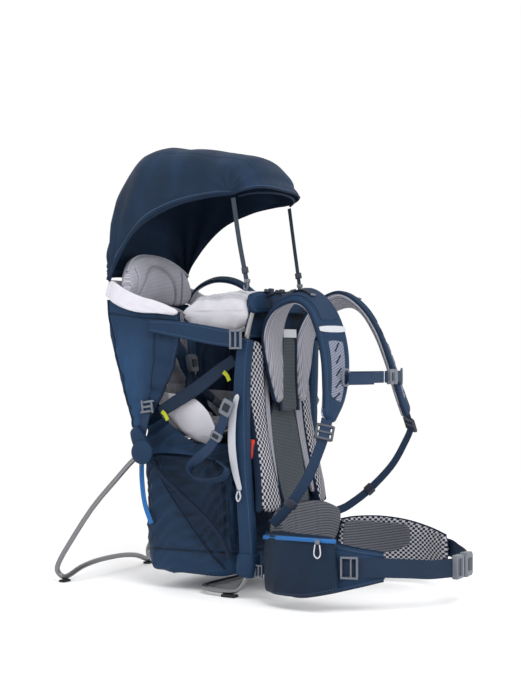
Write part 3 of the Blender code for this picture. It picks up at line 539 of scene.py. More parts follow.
def make_canopy():
    """The shade: one curved cloth with a bound edge, held by a bow in front and straps at its corners.

    Each point moves along its normal by waves and creases, and by folds that fan out from the four corners
    as sin(2 n angle) exp(-distance / reach). The seams are bells cut into it.
    """
    g = canopy_grid(150, 190)
    n = normals(g)
    n = n * np.sign((n * (g - (0, 0.05, 0.75))).sum(-1, keepdims=True))
    push = ripple(g, 0.14, 3) * 0.0014 + creases(g * (0.5, 1, 0.7), 0.12, 8) * 0.0018
    for side in (-1, 1):
        for spot, count, reach in (((0.148, 0.180, 0.690), 9, 0.22), ((0.126, -0.115, 0.855), 6, 0.07)):
            away = g - (side * spot[0], spot[1], spot[2])
            far = np.linalg.norm(away, axis=-1)
            turn = np.arctan2(away[..., 2], away[..., 1])
            push += np.sin(turn * count * 2) * np.exp(-far / reach) * ramp(far, 0.0, 0.05) * 0.0028
    across = np.linspace(0, 1, 150)[None, :] * np.ones((190, 1))
    for seam in (0.30, 0.70):
        push -= bell((across - seam) * 0.5, 0.0035) * 0.0012
    run = np.linspace(0, 1, 190)[:, None] * np.ones((1, 150))
    push -= bell((run - 0.955) * 0.45, 0.004) * 0.0016
    g = g + n * push[..., None]
    width = np.linalg.norm(np.diff(g, axis=1), axis=-1).sum(1)[:, None]
    length = np.linalg.norm(np.diff(g, axis=0), axis=-1).sum(0).mean()
    a, b = (across - 0.5) * width, run * length
    border = np.minimum(np.minimum(across, 1 - across) * width, (1 - run) * length)
    # Painted shade: darker in the creases and towards the side panels, with painted fold shading over the sides.
    tone = creases(g * (0.5, 1, 0.7), 0.12, 8) * 0.25 - 0.30 * ramp(np.abs(across - 0.5), 0.22, 0.40)
    tone = tone + 0.14 * ripple(g * (1, 1.6, 0.5), 0.09, 12) * ramp(np.abs(across - 0.5), 0.20, 0.34)
    tone = np.clip(tone, -0.36, 0.30)
    shade = Build().grid(g, 0, a, b, border, tone)
    piece = shade.make(
        "canopy_shade", [navy_stitched, canopy_lining], "canopy", ["canopy_cloth"], "navy_fabric", 0.0018,
        1,
    )
    flip_if_inward(piece, (0, 0.05, 0.78))
    edge = Build()
    for side in (0, -1):
        edge.tube(g[:, side], FINE_PIPING, count=150, sides=8)
    edge.tube(g[-1], 0.0024, count=120, sides=8)
    edge.tube(g[0], FINE_PIPING, count=110, sides=8)
    edge.make("canopy_binding", [binding], "canopy", slot="navy_fabric")
    cloth_area(g)


def cloth_area(g):
    """The area of a grid of points, as its cloth was cut."""
    one, two = g[1:, :-1] - g[:-1, :-1], g[:-1, 1:] - g[:-1, :-1]
    return float(np.linalg.norm(np.cross(one, two), axis=-1).sum())


def flip_if_inward(obj, centre):
    """Turns a sheet's faces over if they face the centre, so that Solidify grows inwards."""
    mesh = obj.data
    middle, face = np.empty(len(mesh.polygons) * 3), np.empty(len(mesh.polygons) * 3)
    mesh.polygons.foreach_get("center", middle)
    mesh.polygons.foreach_get("normal", face)
    middle, face = middle.reshape(-1, 3), face.reshape(-1, 3)
    if ((middle - SHIFT - np.asarray(centre)) * face).sum() < 0:
        mesh.flip_normals()


def make_canopy_straps():
    """A thin webbing each side from the rim to the frame head, with an adjuster and a hook."""
    for word, side in SIDES.items():
        points = [
            (0.123, -0.120, 0.845), (0.1215, -0.134, 0.755), (0.117, -0.149, 0.672),
            (0.1155, -0.1515, 0.654),
        ]
        points = flip(points, side)
        strap = Build().band(rows(points, (0.25 * side, 1, 0), 0.010, 0.0016), 60, 12, 0.3)
        piece = strap.make(
            f"canopy_tie_{word}", [webbing_slate], "canopy_straps", [f"canopy_strap_{word}"], "navy_fabric"
        )
        parts = Build()
        x = 0.1165 * side
        parts.box((0.1178 * side, -0.1465, 0.690), (0.006, 0.014, 0.013), 0, (-10, 0, 0))
        hook = [
            (x, -0.1510, 0.668), (x, -0.1525, 0.656), (x, -0.1480, 0.6475), (x, -0.1435, 0.652),
            (x, -0.1435, 0.658),
        ]
        parts.tube(hook, 0.0022, 1, count=30)
        parts.box((x, -0.1510, 0.667), (0.005, 0.013, 0.008), 1)
        parts.make(f"canopy_hook_{word}", [black, plastic], "canopy_straps")


# ---- Child's compartment --------------------------------------------------------------------

REAR_EDGE = [(0.184, 0.632), (0.169, 0.543), (0.139, 0.433), (0.110, 0.345)]
FRONT_EDGE = [(-0.006, 0.602), (-0.004, 0.540), (0.024, 0.455), (0.075, 0.368)]


def make_side_walls():
    """The compartment's sides: navy cloth with a seam below its top, a darker front panel and piped edges."""
    for word, side in SIDES.items():
        down = np.linspace(0, 3, 120)
        rear, front = spline(REAR_EDGE, down), spline(FRONT_EDGE, down)
        t = np.linspace(0, 1, 80)
        yz = rear[:, None] * (1 - t)[None, :, None] + front[:, None] * t[None, :, None]
        v = np.linspace(0, 1, 120)[:, None] * np.ones((1, 80))
        u = t[None, :] * np.ones((120, 1))
        x = 0.1590 + 0.010 * np.sin(math.pi * u) * np.sin(math.pi * np.clip(v * 1.1, 0, 1))
        g = np.stack([x, yz[..., 0], yz[..., 1]], -1)
        push = ripple(g, 0.07, 21) * 0.0022 + creases(
            g * (1, 1.4, 0.6), 0.055, 5,
        ) * 0.0030 * ramp(v, 0.1, 0.3)
        seams = [bell((v - 0.115) * 0.29, 0.0022), bell((u - 0.66) * 0.18, 0.0022) * ramp(v, 0.10, 0.14)]
        push -= sum(seams) * 0.0026
        push += np.sin(u * 46) * bell((v - 0.13) * 0.29, 0.012) * 0.0008
        push += bell(to_line(g, [(0.16, 0.12, 0.37), (0.16, 0.02, 0.47)]), 0.03) * ripple(g, 0.02, 9) * 0.0012
        g[..., 0] += push
        # Darker front panel. Painted light: the main panel grows lighter towards its lower rear. Painted shade
        # along the seams, and a painted highlight along the middle of the top band.
        tone = -0.10 * ramp(u, 0.655, 0.665) + 0.75 * ramp(v, 0.12, 0.5) * (1 - ramp(u, 0.3, 0.66))
        tone = tone - 0.5 * sum(seams) + 0.12 * bell((v - 0.06) * 0.29, 0.01)
        border = np.minimum(np.minimum(u, 1 - u) * 0.18, np.minimum(v, 1 - v) * 0.29)
        wall = Build().grid(flip(g, side), 0, u * 0.18, v * 0.29, border, tone)
        piece = wall.make(
            f"side_panel_{word}", [
                navy_stitched, navy_dark,
            ], "frame", [f"side_wall_{word}"], "navy_fabric", 0.006, 1
        )
        flip_if_inward(piece, (0, 0.05, 0.5))
        cloth_area(g)
        edge = Build()
        rim = flip(np.concatenate([g[::4, -1], g[-1, ::-4]]), side)
        edge.tube(rim, PIPING, count=150, sides=8)
        edge.tube(flip(g[::4, 0], side), PIPING, count=90, sides=8)
        edge.make(f"side_piping_{word}", [binding], "frame", slot="navy_fabric")


def make_rear_wall():
    """The compartment's back: navy cloth outside, lining inside."""
    down = np.linspace(0, 3, 110)
    rear = spline(REAR_EDGE, down)
    t = np.linspace(-1, 1, 110)
    y = rear[:, :1] + 0.016 * (1 - t**2)[None, :] + 0.004
    g = np.stack(np.broadcast_arrays(0.158 * t[None, :], y, rear[:, 1:]), -1)
    v = np.linspace(0, 1, 110)[:, None] * np.ones((1, 110))
    u = t[None, :] * np.ones((110, 1))
    push = ripple(g, 0.09, 31) * 0.002 + creases(g * (1, 1, 0.5), 0.07, 33) * 0.003
    push -= (bell((np.abs(u) - 0.62) * 0.158, 0.002) + bell((v - 0.12) * 0.3, 0.002)) * 0.002
    g[..., 1] += push
    border = np.minimum((1 - np.abs(u)) * 0.158, np.minimum(v, 1 - v) * 0.3)
    # Lighter between the two seams; painted shade along the seams themselves.
    tone = 0.25 * (1 - ramp(np.abs(u), 0.5, 0.7)) - 0.3 * bell((np.abs(u) - 0.62) * 0.158, 0.002)
    wall = Build().grid(g, 0, u * 0.158, v * 0.3, border, tone)
    piece = wall.make(
        "rear_panel", [navy_stitched, navy_dark], "frame", ["rear_wall"], "navy_fabric", 0.006, 1,
    )
    flip_if_inward(piece, (0, 0.0, 0.5))
    cloth_area(g)


def make_collar():
    """The pale padded band round the top of the side and rear walls."""
    half = [(0.161, -0.004, 0.600), (0.1655, 0.045, 0.6125), (0.1670, 0.095, 0.6210), (0.1650, 0.140, 0.6360)]
    half += [(0.155, 0.174, 0.6530), (0.120, 0.2025, 0.662)]
    wide = [0.012, 0.026, 0.036, 0.040, 0.039, 0.034]
    right = [(-x, y, z, 0.25, 0, 1, w, 0.010) for (x, y, z), w in zip(half, wide)]
    left = [(x, y, z, -0.25, 0, 1, w, 0.010) for (x, y, z), w in zip(reversed(half), reversed(wide))]
    middle = [(0, 0.208, 0.662, 0, 0, 1, 0.034, 0.010)]

    def puff(a, along, width):
        return np.sin(along * 190) * 0.0004 + ripple(
            np.stack([a * 3, along, along * 0], -1), 0.04, 4,
        ) * 0.0012

    collar = Build().band(right + middle + left, 260, 24, 0.75, rounded=0.012, puff=puff)
    piece = collar.make("wall_collar", [fleece], "frame", slot="pale_fleece")


def make_headrest():
    """The padded hood behind the child's head: ribbed mesh with seams and a pale trim along its foot."""
    t = np.linspace(-1, 1, 130)
    angle = t * math.radians(48)
    x = 0.130 * np.sin(angle) / math.sin(math.radians(48))
    y = 0.180 - 0.085 * (1 - np.cos(angle))
    top = 0.740 - 0.050 * np.abs(t) ** 2.4
    low = np.full(130, 0.626)
    thick = 0.036 - 0.014 * np.abs(t) ** 3
    turn = np.arange(64) * TAU / 64
    c, s = np.cos(turn)[None, :], np.sin(turn)[None, :]
    out = np.stack([np.sin(angle), np.cos(angle), 0 * angle], 1)[:, None]
    high = np.sign(c) * np.abs(c) ** 0.8 * ((top - low) / 2)[:, None]
    deep = np.sign(s) * np.abs(s) ** 0.8 * (thick / 2)[:, None]
    end = np.sqrt(np.clip(1 - np.abs(t) ** 8, 0.02, 1))[:, None]
    centre = np.stack([x, y, (top + low) / 2], 1)[:, None]
    g = centre + out * (deep * end)[..., None] + np.array([0, 0, 1.0]) * (high * end)[..., None]
    u = t[:, None] * np.ones((1, 64))
    v = high / ((top - low) / 2)[:, None]
    face = np.sign(s) * np.ones((130, 1))
    arch = np.abs(np.hypot(u / 0.55, (v + 0.7) / 1.25) - 1) * 0.05
    seams = bell(arch, 0.0026) + bell((np.abs(u) - 0.72) * 0.13, 0.0025) * (v < 0.8)
    n = np.broadcast_to(out, g.shape) * face[..., None]
    bulge = (0.004 * np.cos(v * 1.4) + 0.002 * ripple(g, 0.06, 6)) - 0.0045 * seams
    g = g + n * bulge[..., None]
    # Painted shade in the seams and along the foot, with uneven tone from the ripple.
    tone = -0.45 * seams + 0.05 * ripple(g, 0.05, 2) - 0.25 * ramp(-v, 0.75, 1.0)
    pad = Build().grid(g, 0, x[:, None] * np.ones((1, 64)), g[..., 2], 1.0, tone, True, True)
    piece = pad.make("headrest_pad", [lilac_mesh], "headrest_slider", ["headrest"], "grey_mesh")
    ridge = centre[4:-4, 0] + np.stack([0 * t, 0 * t, (top - low) / 2 + 0.0005], 1)[4:-4]
    Build().tube(ridge, FINE_PIPING, count=120, sides=8).make(
        "headrest_piping", [grey_cloth], "headrest_slider",
    )


def make_backrest():
    """The child's backrest: ribbed mesh with a seam each side and one every 75 mm."""
    down = spline([(0, y, z) for y, z in REAR_EDGE], np.linspace(0, 2.1, 9))
    table = rows(
        down + (0, -0.026, -0.006), (1, 0, 0), [0.20, 0.21, 0.22, 0.22, 0.22, 0.215, 0.21, 0.19, 0.17],
        0.026,
    )

    def puff(a, along, width):
        return -0.004 * bell(np.abs(a) - 0.045, 0.004) - 0.004 * bell((along % 0.075) - 0.0375, 0.004)

    back = Build().band(table, 120, 72, 0.55, rounded=0.02, puff=puff)
    piece = back.make("backrest_pad", [grey_mesh], "frame", ["child_backrest"], "grey_mesh")


def make_seat():
    """The seat's sling, which rises to the crotch piece in front, and its cushion."""
    shell = [
        (0, 0.078, 0.384, 0.20), (0, 0.064, 0.345, 0.22), (0, 0.030, 0.332, 0.22), (0, -0.020, 0.332, 0.20),
        (0, -0.062, 0.342, 0.14), (
            0, -0.095, 0.374, 0.095,
        ), (0, -0.112, 0.430, 0.085), (0, -0.122, 0.476, 0.105),
    ]
    table = [(x, y, z, 1, 0, 0, w, 0.007) for x, y, z, w in shell]
    sling = Build().band(table, 110, 40, 0.5, rounded=0.01, slots=(0, 1))
    piece = sling.make("seat_sling", [grey_cloth, grey_cloth], "seat", ["seat_shell"], "dark_fabric")
    cushion = [(0, 0.058, 0.357, 0.17, 0.022), (0, 0.030, 0.357, 0.205, 0.030), (0, 0.0, 0.357, 0.205, 0.030)]
    cushion += [(0, -0.030, 0.357, 0.185, 0.026), (0, -0.054, 0.359, 0.125, 0.016)]
    table = [(x, y, z, 1, 0, 0, w, t) for x, y, z, w, t in cushion]

    def dimple(a, along, width):
        return -0.004 * bell(np.abs(np.hypot(a, along - 0.055) - 0.045), 0.003)

    pad = Build().band(table, 80, 56, 0.6, rounded=0.02, puff=dimple)
    piece = pad.make("seat_pad", [lilac_mesh], "seat", ["seat_cushion"], "grey_mesh")


def make_seat_sides():
    """The seat's pale cloth flanks, the webbings that hold them up, and the bag's loose cloth below them."""
    for word, side in SIDES.items():
        make_seat_flank(word, side)
        make_bag_flap(word, side)
        make_seat_brace(word, side)
        make_seat_buckle(word, side)


def make_seat_flank(word, side):
    """The pale cloth between the seat and the side wall."""
    top = [(0.100, 0.430), (0.060, 0.428), (0.018, 0.424), (-0.022, 0.416), (-0.052, 0.392), (-0.070, 0.356)]
    low = [(0.084, 0.396), (0.056, 0.368), (0.026, 0.345), (-0.004, 0.328), (-0.036, 0.316), (-0.062, 0.312)]
    t, v = np.linspace(0, len(top) - 1, 70), np.linspace(0, 1, 44)[None, :, None]
    upper, lower = spline(top, t)[:, None], spline(low, t)[:, None]
    yz = upper * (1 - v) + lower * v
    along = np.linspace(0, 1, 70)[:, None] * np.ones((1, 44))
    down = v[..., 0] * np.ones((70, 1))
    x = 0.1180 - 0.022 * down**2 + 0.010 * np.sin(math.pi * along)
    g = np.stack([x, yz[..., 0], yz[..., 1]], -1)
    g[..., 0] += creases(g * (1, 1, 0.6), 0.06, 91) * 0.0030 + ripple(g, 0.05, 92) * 0.0014
    border = np.minimum(np.minimum(along, 1 - along) * 0.16, np.minimum(down, 1 - down) * 0.08)
    # Painted shade: darker towards the bottom front corner.
    tone = -0.35 * down * along
    piece = Build().grid(flip(g, side), 0, along * 0.16, down * 0.08, border, tone).make(
        f"seat_flank_{word}", [pale_cloth, grey_cloth], "seat", slot="pale_fleece", thick=0.002, inner=1
    )
    flip_if_inward(piece, (0, 0.02, 0.40))
    cloth_area(g)


def make_bag_flap(word, side):
    """The loose cloth between the bag and the seat, with folds |sin|^0.7 that slant down to the front."""
    foot = [(0.098, 0.292), (0.050, 0.296), (0.0, 0.296), (-0.050, 0.292), (-0.100, 0.282), (-0.128, 0.262)]
    head = [(0.094, 0.378), (0.058, 0.372), (0.020, 0.346), (-0.025, 0.320), (-0.075, 0.312), (-0.132, 0.300)]
    w = np.linspace(0, 1, 60)[None, :, None]
    t2 = np.linspace(0, len(foot) - 1, 120)
    yz2 = spline(foot, t2)[:, None] * (1 - w) + spline(head, t2)[:, None] * w
    w2, t3 = w[..., 0] * np.ones((120, 1)), np.linspace(0, 1, 120)[:, None] * np.ones((1, 60))
    g = np.stack([0.1435 - 0.016 * w2**1.6, yz2[..., 0], yz2[..., 1]], -1)
    fold = np.sin((g[..., 1] + g[..., 2] * 1.9) * 62 + ripple(g, 0.07, 93) * 1.6)
    g[..., 0] += -np.abs(fold) ** 0.7 * 0.0065 * ramp(w2, 0.02, 0.3) + ripple(g, 0.07, 94) * 0.002
    border = np.minimum((1 - w2) * 0.06, np.minimum(t3, 1 - t3) * 0.23)
    # Painted shade in the fold hollows; darker towards the front end.
    tone = -0.35 * np.abs(fold) * ramp(w2, 0.05, 0.3) - 0.2 * t3
    piece = Build().grid(flip(g, side), 0, t3 * 0.23, w2 * 0.07, border, tone).make(
        f"bag_flap_{word}", [navy, navy_dark], "frame", thick=0.0022, inner=1, slot="navy_fabric"
    )
    flip_if_inward(piece, (0, 0.0, 0.33))
    cloth_area(g)


def make_seat_brace(word, side):
    """The dark webbing that slants from the wall up to the upright."""
    brace = [
        (0.1240, -0.124, 0.500), (0.1290, -0.088, 0.476), (0.1355, -0.035, 0.438), (0.1425, 0.020, 0.405),
        (0.1490, 0.052, 0.386),
    ]
    table = mirror_rows(
        [(*p, 0, 0.55, 0.85, w, 0.0030) for p, w in zip(brace, (0.024, 0.028, 0.030, 0.028, 0.024))], side,
    )
    strap = Build().band(table, 70, 14, 0.35, tone=-0.45)
    piece = strap.make(f"seat_brace_{word}", [webbing], "frame", slot="navy_fabric")


def make_seat_buckle(word, side):
    """The ladderlock beside the seat, its webbing, and two bright pull tabs."""
    parts = Build()
    stem = [(0.1640, 0.088, 0.335), (0.1655, 0.080, 0.362), (0.1655, 0.072, 0.392), (0.1640, 0.066, 0.412)]
    parts.band(mirror_rows([(*p, 0, 1, 0.2, 0.020, 0.003) for p in stem], side), 40, 12, 0.35, slots=(3, 3))
    for dz in (-0.011, 0.0, 0.011):
        parts.box((0.1690 * side, 0.070 - dz * 0.3, 0.398 + dz), (0.005, 0.028, 0.0045), 0, (-8, 0, 0), 0.3)
    for dy in (-0.0125, 0.0125):
        parts.box((0.1690 * side, 0.070 + dy, 0.398), (0.005, 0.004, 0.027), 0, (-8, 0, 0), 0.3)
    for spot in ((0.1560, 0.040, 0.388), (0.1290, -0.100, 0.474)):
        tab = [
            spot, (spot[0] + 0.002, spot[1] - 0.010, spot[2] - 0.008),
            (spot[0] + 0.002, spot[1] - 0.016, spot[2] - 0.019),
        ]
        parts.band(
            mirror_rows([(*p, 0, 0.8, -0.6, 0.009, 0.0022) for p in tab], side), 16, 8, 0.4, slots=(2, 2),
        )
    parts.make(f"seat_buckle_{word}", [plastic, black, lime, webbing], "frame", sharp=HARD_EDGE)


def make_child_harness():
    """Two padded straps over the backrest, crossing to a buckle, with pull tabs in bright colours."""
    parts = Build()
    for side in (-1, 1):
        run = [(0.062 * side, 0.118, 0.600), (0.048 * side, 0.098, 0.560), (0.022 * side, 0.080, 0.515)]
        run += [(0.008 * side, 0.074, 0.480), (-0.022 * side, 0.060, 0.440), (-0.060 * side, 0.040, 0.405)]
        parts.band(
            rows(run, (1, 0.2 * side, 0), [0.034, 0.036, 0.034, 0.028, 0.024, 0.022], 0.008), 80, 20, 0.5,
            rounded=0.01,
        )
    piece = parts.make("child_harness_straps", [navy_stitched], "frame", ["child_harness"], "dark_fabric")
    parts = Build()
    parts.box((0, 0.064, 0.492), (0.036, 0.012, 0.040), 0, (-10, 0, 0), 0.3)
    parts.box((0, 0.057, 0.492), (0.016, 0.004, 0.018), 1, (-10, 0, 0), 0.3)
    for side in (-1, 1):
        parts.box((-0.062 * side, 0.036, 0.402), (0.026, 0.008, 0.020), 0, (0, 30, 0), 0.25)
        tab = [(-0.070 * side, 0.034, 0.398), (-0.078 * side, 0.028, 0.386), (-0.080 * side, 0.026, 0.374)]
        parts.band(rows(tab, (1, 0, 0), 0.010, 0.0016), 14, 8, 0.3, slots=(2, 2))
    parts.make("child_harness_buckles", [plastic, black, lime], "frame", sharp=HARD_EDGE)


def make_front_wall():
    """The dark panel behind the frame's uprights, and the crotch piece's navy wings in front of the child."""
    t, v = np.linspace(-1, 1, 70), np.linspace(0, 1, 70)
    y = np.interp(v, [0, 0.7, 1], [-0.146, -0.146, -0.142])
    z = 0.552 + (0.340 - 0.552) * v
    g = np.stack(np.broadcast_arrays(0.118 * t[None, :], y[:, None], z[:, None]), -1).copy()
    g[..., 1] += ripple(g, 0.06, 51) * 0.0012
    u, w = np.broadcast_arrays(t[None, :], v[:, None])
    border = np.minimum((1 - np.abs(u)) * 0.118, np.minimum(w, 1 - w) * 0.21)
    wall = Build().grid(g, 0, u * 0.118, w * 0.21, border, 0.0)
    piece = wall.make("inner_panel", [navy_dark, navy_dark], "frame", ["front_wall"], "dark_fabric", 0.002, 1)
    min(cloth_area(g), 0.056)
    cross = Build()
    for side in (-1, 1):
        for low_x, low_z, high_x, high_z in ((0.030, 0.392, 0.088, 0.560), (0.034, 0.470, 0.100, 0.392)):
            run = [(low_x * side, -0.112, low_z), ((low_x + high_x) / 2 * side, -0.118, (low_z + high_z) / 2)]
            run += [(high_x * side, -0.124, high_z)]
            cross.band(
                rows(run, (0.9, 0, 0.4 * side), [0.036, 0.026, 0.030], 0.007), 40, 16, 0.5, rounded=0.01,
            )
    piece = cross.make("crotch_wings", [webbing_dark], "frame", slot="dark_fabric")


def make_chin_pad():
    """The pale soft bib at the front of the compartment, with pleats and a binding."""
    t = np.linspace(-1, 1, 150)
    turn = np.arange(80) * TAU / 80
    c, s = np.cos(turn)[None, :], np.sin(turn)[None, :]
    back = -0.002 - 0.052 * (1 - np.abs(t) ** 2.5)
    front = -0.162
    top, low = 0.650 - 0.010 * t * t, 0.556
    end = np.clip(1 - np.abs(t) ** 14, 0.03, 1)[:, None] ** 0.5
    deep = np.sign(c) * np.abs(c) ** 0.55 * ((back - front) / 2)[:, None]
    high = np.sign(s) * np.abs(s) ** 0.5 * ((top - low) / 2)[:, None] * end
    g = np.stack(
        np.broadcast_arrays(
            0.136 * t[:, None], ((back + front) / 2)[:, None] + deep, ((top + low) / 2)[:, None] + high,
        ),
        -1,
    )
    n = normals(g, True)
    n = n * np.sign((n * (g - (0, -0.1, 0.6))).sum(-1, keepdims=True))
    push = ripple(g, 0.05, 61) * 0.0020 + creases(g * (1, 1, 0.45), 0.045, 64) * 0.0035
    push += 0.003 * np.cos(s * 1.2)
    g = g + n * push[..., None]
    side_seam = bell((np.abs(t[:, None]) - 0.93) * 0.136, 0.0025) * np.ones((1, 80))
    # Painted shade in the creases and along the side seams.
    tone = creases(g * (1, 1, 0.45), 0.045, 64) * 0.10 - side_seam * 0.3
    pad = Build().grid(g, 0, g[..., 1], g[..., 2], 1.0, tone, True, True)
    piece = pad.make("bib_pad", [pale_cloth], "frame", ["chin_pad"], "pale_fleece")
    trim = Build()
    for side in (-1, 1):
        ring = g[8 if side < 0 else -9, ::2]
        trim.tube(np.vstack([ring, ring[:1]]), FINE_PIPING, count=120, sides=8)
    trim.make("bib_piping", [grey_cloth], "frame")


def make_handle():
    """The lifting handle: a padded navy arch with a grey face below."""
    arch = [(0.1500, 0.170, 0.640), (0.1485, 0.145, 0.670), (0.1460, 0.105, 0.687), (0.140, 0.065, 0.689)]
    arch += [(0.132, 0.022, 0.679), (0.123, -0.024, 0.654), (0.118, -0.044, 0.637)]
    table = rows(arch, (0.9, 0, 0.5), [0.014, 0.020, 0.022, 0.022, 0.020, 0.016, 0.014], 0.010)
    piece = Build().band(table, 90, 24, 0.55, slots=(0, 1)).make(
        "lift_handle", [navy_stitched, grey_cloth], "frame", ["grab_handle"], "navy_fabric"
    )


def make_side_straps():
    """The webbing that pulls each side towards the frame, with its rectangular slider."""
    for word, side in SIDES.items():
        run = [
            (0.1745, 0.060, 0.5735), (0.1705, 0.020, 0.569), (0.169, -0.030, 0.562),
            (0.1695, -0.090, 0.552),
        ]
        run += [(0.1720, -0.150, 0.543), (0.1725, -0.168, 0.540)]
        wide = [0.026, 0.032, 0.036, 0.038, 0.036, 0.034]
        table = mirror_rows([(*p, 0, 0.1, 1, w, 0.0030) for p, w in zip(run, wide)], side)
        piece = Build().band(table, 90, 24, 0.35).make(
            f"side_pull_{word}", [navy_stitched], "frame", [f"side_strap_{word}"], "navy_fabric"
        )
        parts = Build()
        x, y, z = 0.1755 * side, -0.158, 0.542
        for dy in (-0.0125, 0.0125):
            parts.box((x, y + dy, z), (0.0045, 0.004, 0.040), 0)
        for dz in (-0.018, 0.018):
            parts.box((x, y, z + dz), (0.0045, 0.028, 0.004), 0)
        parts.box((x, y, z), (0.003, 0.004, 0.036), 0)
        parts.make(f"side_slider_{word}", [plastic], "frame", sharp=HARD_EDGE)


# ---- Lower bag --------------------------------------------------------------------------------


def make_bag():
    """The bag under the seat: a soft box with a base seam, a slanting gusset and a curved zip near its rear.

    Each level is a superellipse. Waves, creases and slanting sags |sin|^0.8 move its points along the
    normals.
    """
    levels = [
        (0.033, 0.112, -0.100, 0.078), (0.040, 0.134, -0.122, 0.101), (0.060, 0.141, -0.132, 0.111),
        (0.110, 0.1445, -0.137, 0.114), (0.190, 0.1455, -0.134, 0.115), (0.250, 0.1450, -0.128, 0.117),
        (0.300, 0.1420, -0.120, 0.110), (0.318, 0.1240, -0.098, 0.088),
    ]
    lev = spline(levels, np.linspace(0, len(levels) - 1, 170))
    z, half, front, back = (lev[:, i : i + 1] for i in range(4))
    turn = np.arange(260) * TAU / 260
    c, s = np.cos(turn)[None, :], np.sin(turn)[None, :]
    x = np.sign(c) * np.abs(c) ** 0.34 * half
    y = (front + back) / 2 + np.sign(s) * np.abs(s) ** 0.34 * (back - front) / 2
    g = np.stack(np.broadcast_arrays(x, y, z), -1).copy()
    n = normals(g, True)
    n = n * np.sign((n * (g - (0, 0, 0.17))).sum(-1, keepdims=True))
    gx, gy, gz = g[..., 0], g[..., 1], g[..., 2]
    sides = ramp(np.abs(gx), 0.125, 0.138)
    gusset = to_line(
        np.stack([gy, gz], -1),
        [(0.086, 0.292), (0.045, 0.235), (-0.01, 0.165), (-0.075, 0.085), (-0.115, 0.050)],
    )
    base = np.abs(gz - 0.088)
    stretch = ramp(gz - (0.292 - (0.086 - gy) * 1.16), -0.004, 0.004) * sides
    push = ripple(g, 0.11, 71) * 0.0028 + creases(g * (1, 1, 0.55), 0.085, 73) * 0.0052
    push += creases(g * (1, 1.6, 0.9), 0.035, 77) * 0.0022 * ramp(gz, 0.09, 0.12)
    push += stretch * (creases(g * (1, 1, 0.25), 0.03, 79) * 0.0035)
    sag = np.sin((gy * 0.8 + gz * 1.25) * 78 + ripple(g, 0.12, 80) * 1.2)
    push -= np.abs(sag) ** 0.8 * 0.0040 * ramp(gz, 0.10, 0.14) * sides
    seams = bell(gusset, 0.0026) * sides + bell(base, 0.0024)
    push -= seams * 0.0032
    push -= bell(np.abs(gz - 0.30), 0.005) * 0.002
    push = np.where((np.abs(gx) > 0.12) | (gy > 0.08), np.minimum(push, 0.0015), push)
    g = g + n * push[..., None]
    # Darker panel above the gusset, lighter below the base seam; painted shade in the seams and the slanting
    # sags.
    tone = -0.30 * stretch - 0.5 * seams + 0.30 * ramp(-gz, -0.10, -0.05) - 0.28 * np.abs(sag) * sides
    along = np.broadcast_to(z, x.shape)
    around = np.broadcast_to(turn[None, :] * 0.16, x.shape)
    piece = Build().grid(g, 0, around, along, np.minimum(base, gusset + (1 - sides)), tone, True, True).make(
        "bag_body", [navy], "frame", ["lower_bag"], "navy_fabric"
    )


def make_bag_zips():
    """The curved blue zip and the piped gusset on each side of the bag."""
    for side in (-1, 1):
        word = "right" if side < 0 else "left"
        line = flip(
            [
                (0.1390, 0.106, 0.288), (0.1430, 0.102, 0.235), (0.1450, 0.093, 0.185),
                (0.1460, 0.075, 0.142),
            ],
            side,
        )
        zip_ = Build()
        zip_.band(rows(line, (0, 1, 0.35), 0.012, 0.0024), 70, 12, 0.4)
        zip_.tube(line + np.array([0.0012 * side, 0, 0]), 0.0016, 1, count=80)
        zip_.box(tuple(line[0] + np.array([0.004 * side, -0.001, -0.012])), (0.003, 0.006, 0.018), 2)
        zip_.make(f"bag_zip_{word}", [blue, blue, plastic], "frame")
        pipe = flip(
            [
                (0.142, 0.086, 0.292), (0.147, 0.045, 0.235), (0.1475, -0.01, 0.165),
                (0.147, -0.075, 0.090), (0.1435, -0.112, 0.056),
            ],
            side,
        )
        Build().tube(pipe, FINE_PIPING, count=100, sides=8).make(f"bag_piping_{word}", [binding], "frame")


# ---- Frame, stand and hardware --------------------------------------------------------------

UPRIGHT = [
    (0.143, -0.166, 0.545), (0.150, -0.161, 0.480), (0.150, -0.158, 0.380), (0.150, -0.162, 0.260),
    (0.150, -0.172, 0.140), (0.150, -0.175, 0.080),
]


def make_frame():
    """Tubes and soles keep the CAD shapes; the head gets its fabric cap, the uprights their sleeves."""
    for name in ("main_frame_tube", "kickstand_tube"):
        dress(name, metal)
    for name in ("side_stay_right", "side_stay_left"):
        dress(name, binding)
    for name in ("front_sole_right", "front_sole_left", "kickstand_shoe_right", "kickstand_shoe_left"):
        dress(name, rubber)
    for name in ("kickstand_eye_right", "kickstand_eye_left"):
        dress(name, plastic)
    dress("canopy_bow", binding)
    cap = Build()
    points = [
        (-0.146, -0.174, 0.616), (-0.10, -0.178, 0.622), (0, -0.179, 0.624), (0.10, -0.178, 0.622),
        (0.146, -0.174, 0.616),
    ]

    def puff(a, along, width):
        return ripple(np.stack([a * 2, along, along * 0], -1), 0.05, 14) * 0.0008

    cap.band(
        rows(points, (0, 0, 1), [0.040, 0.046, 0.046, 0.046, 0.040], 0.020), 120, 28, 0.55, rounded=0.014,
        puff=puff,
    )
    piece = cap.make("frame_cap", [navy_stitched], "frame", ["frame_head"], "dark_fabric")
    locks = Build()
    for x in (-0.092, -0.045, 0.045, 0.092):
        locks.box((x, -0.1905, 0.646), (0.024, 0.014, 0.006), 0, (14, 0, 0), 0.3)
        locks.box((x, -0.1960, 0.6485), (0.020, 0.004, 0.005), 0, (14, 0, 0), 0.3)
    locks.make("cap_locks", [black], "frame", sharp=HARD_EDGE)


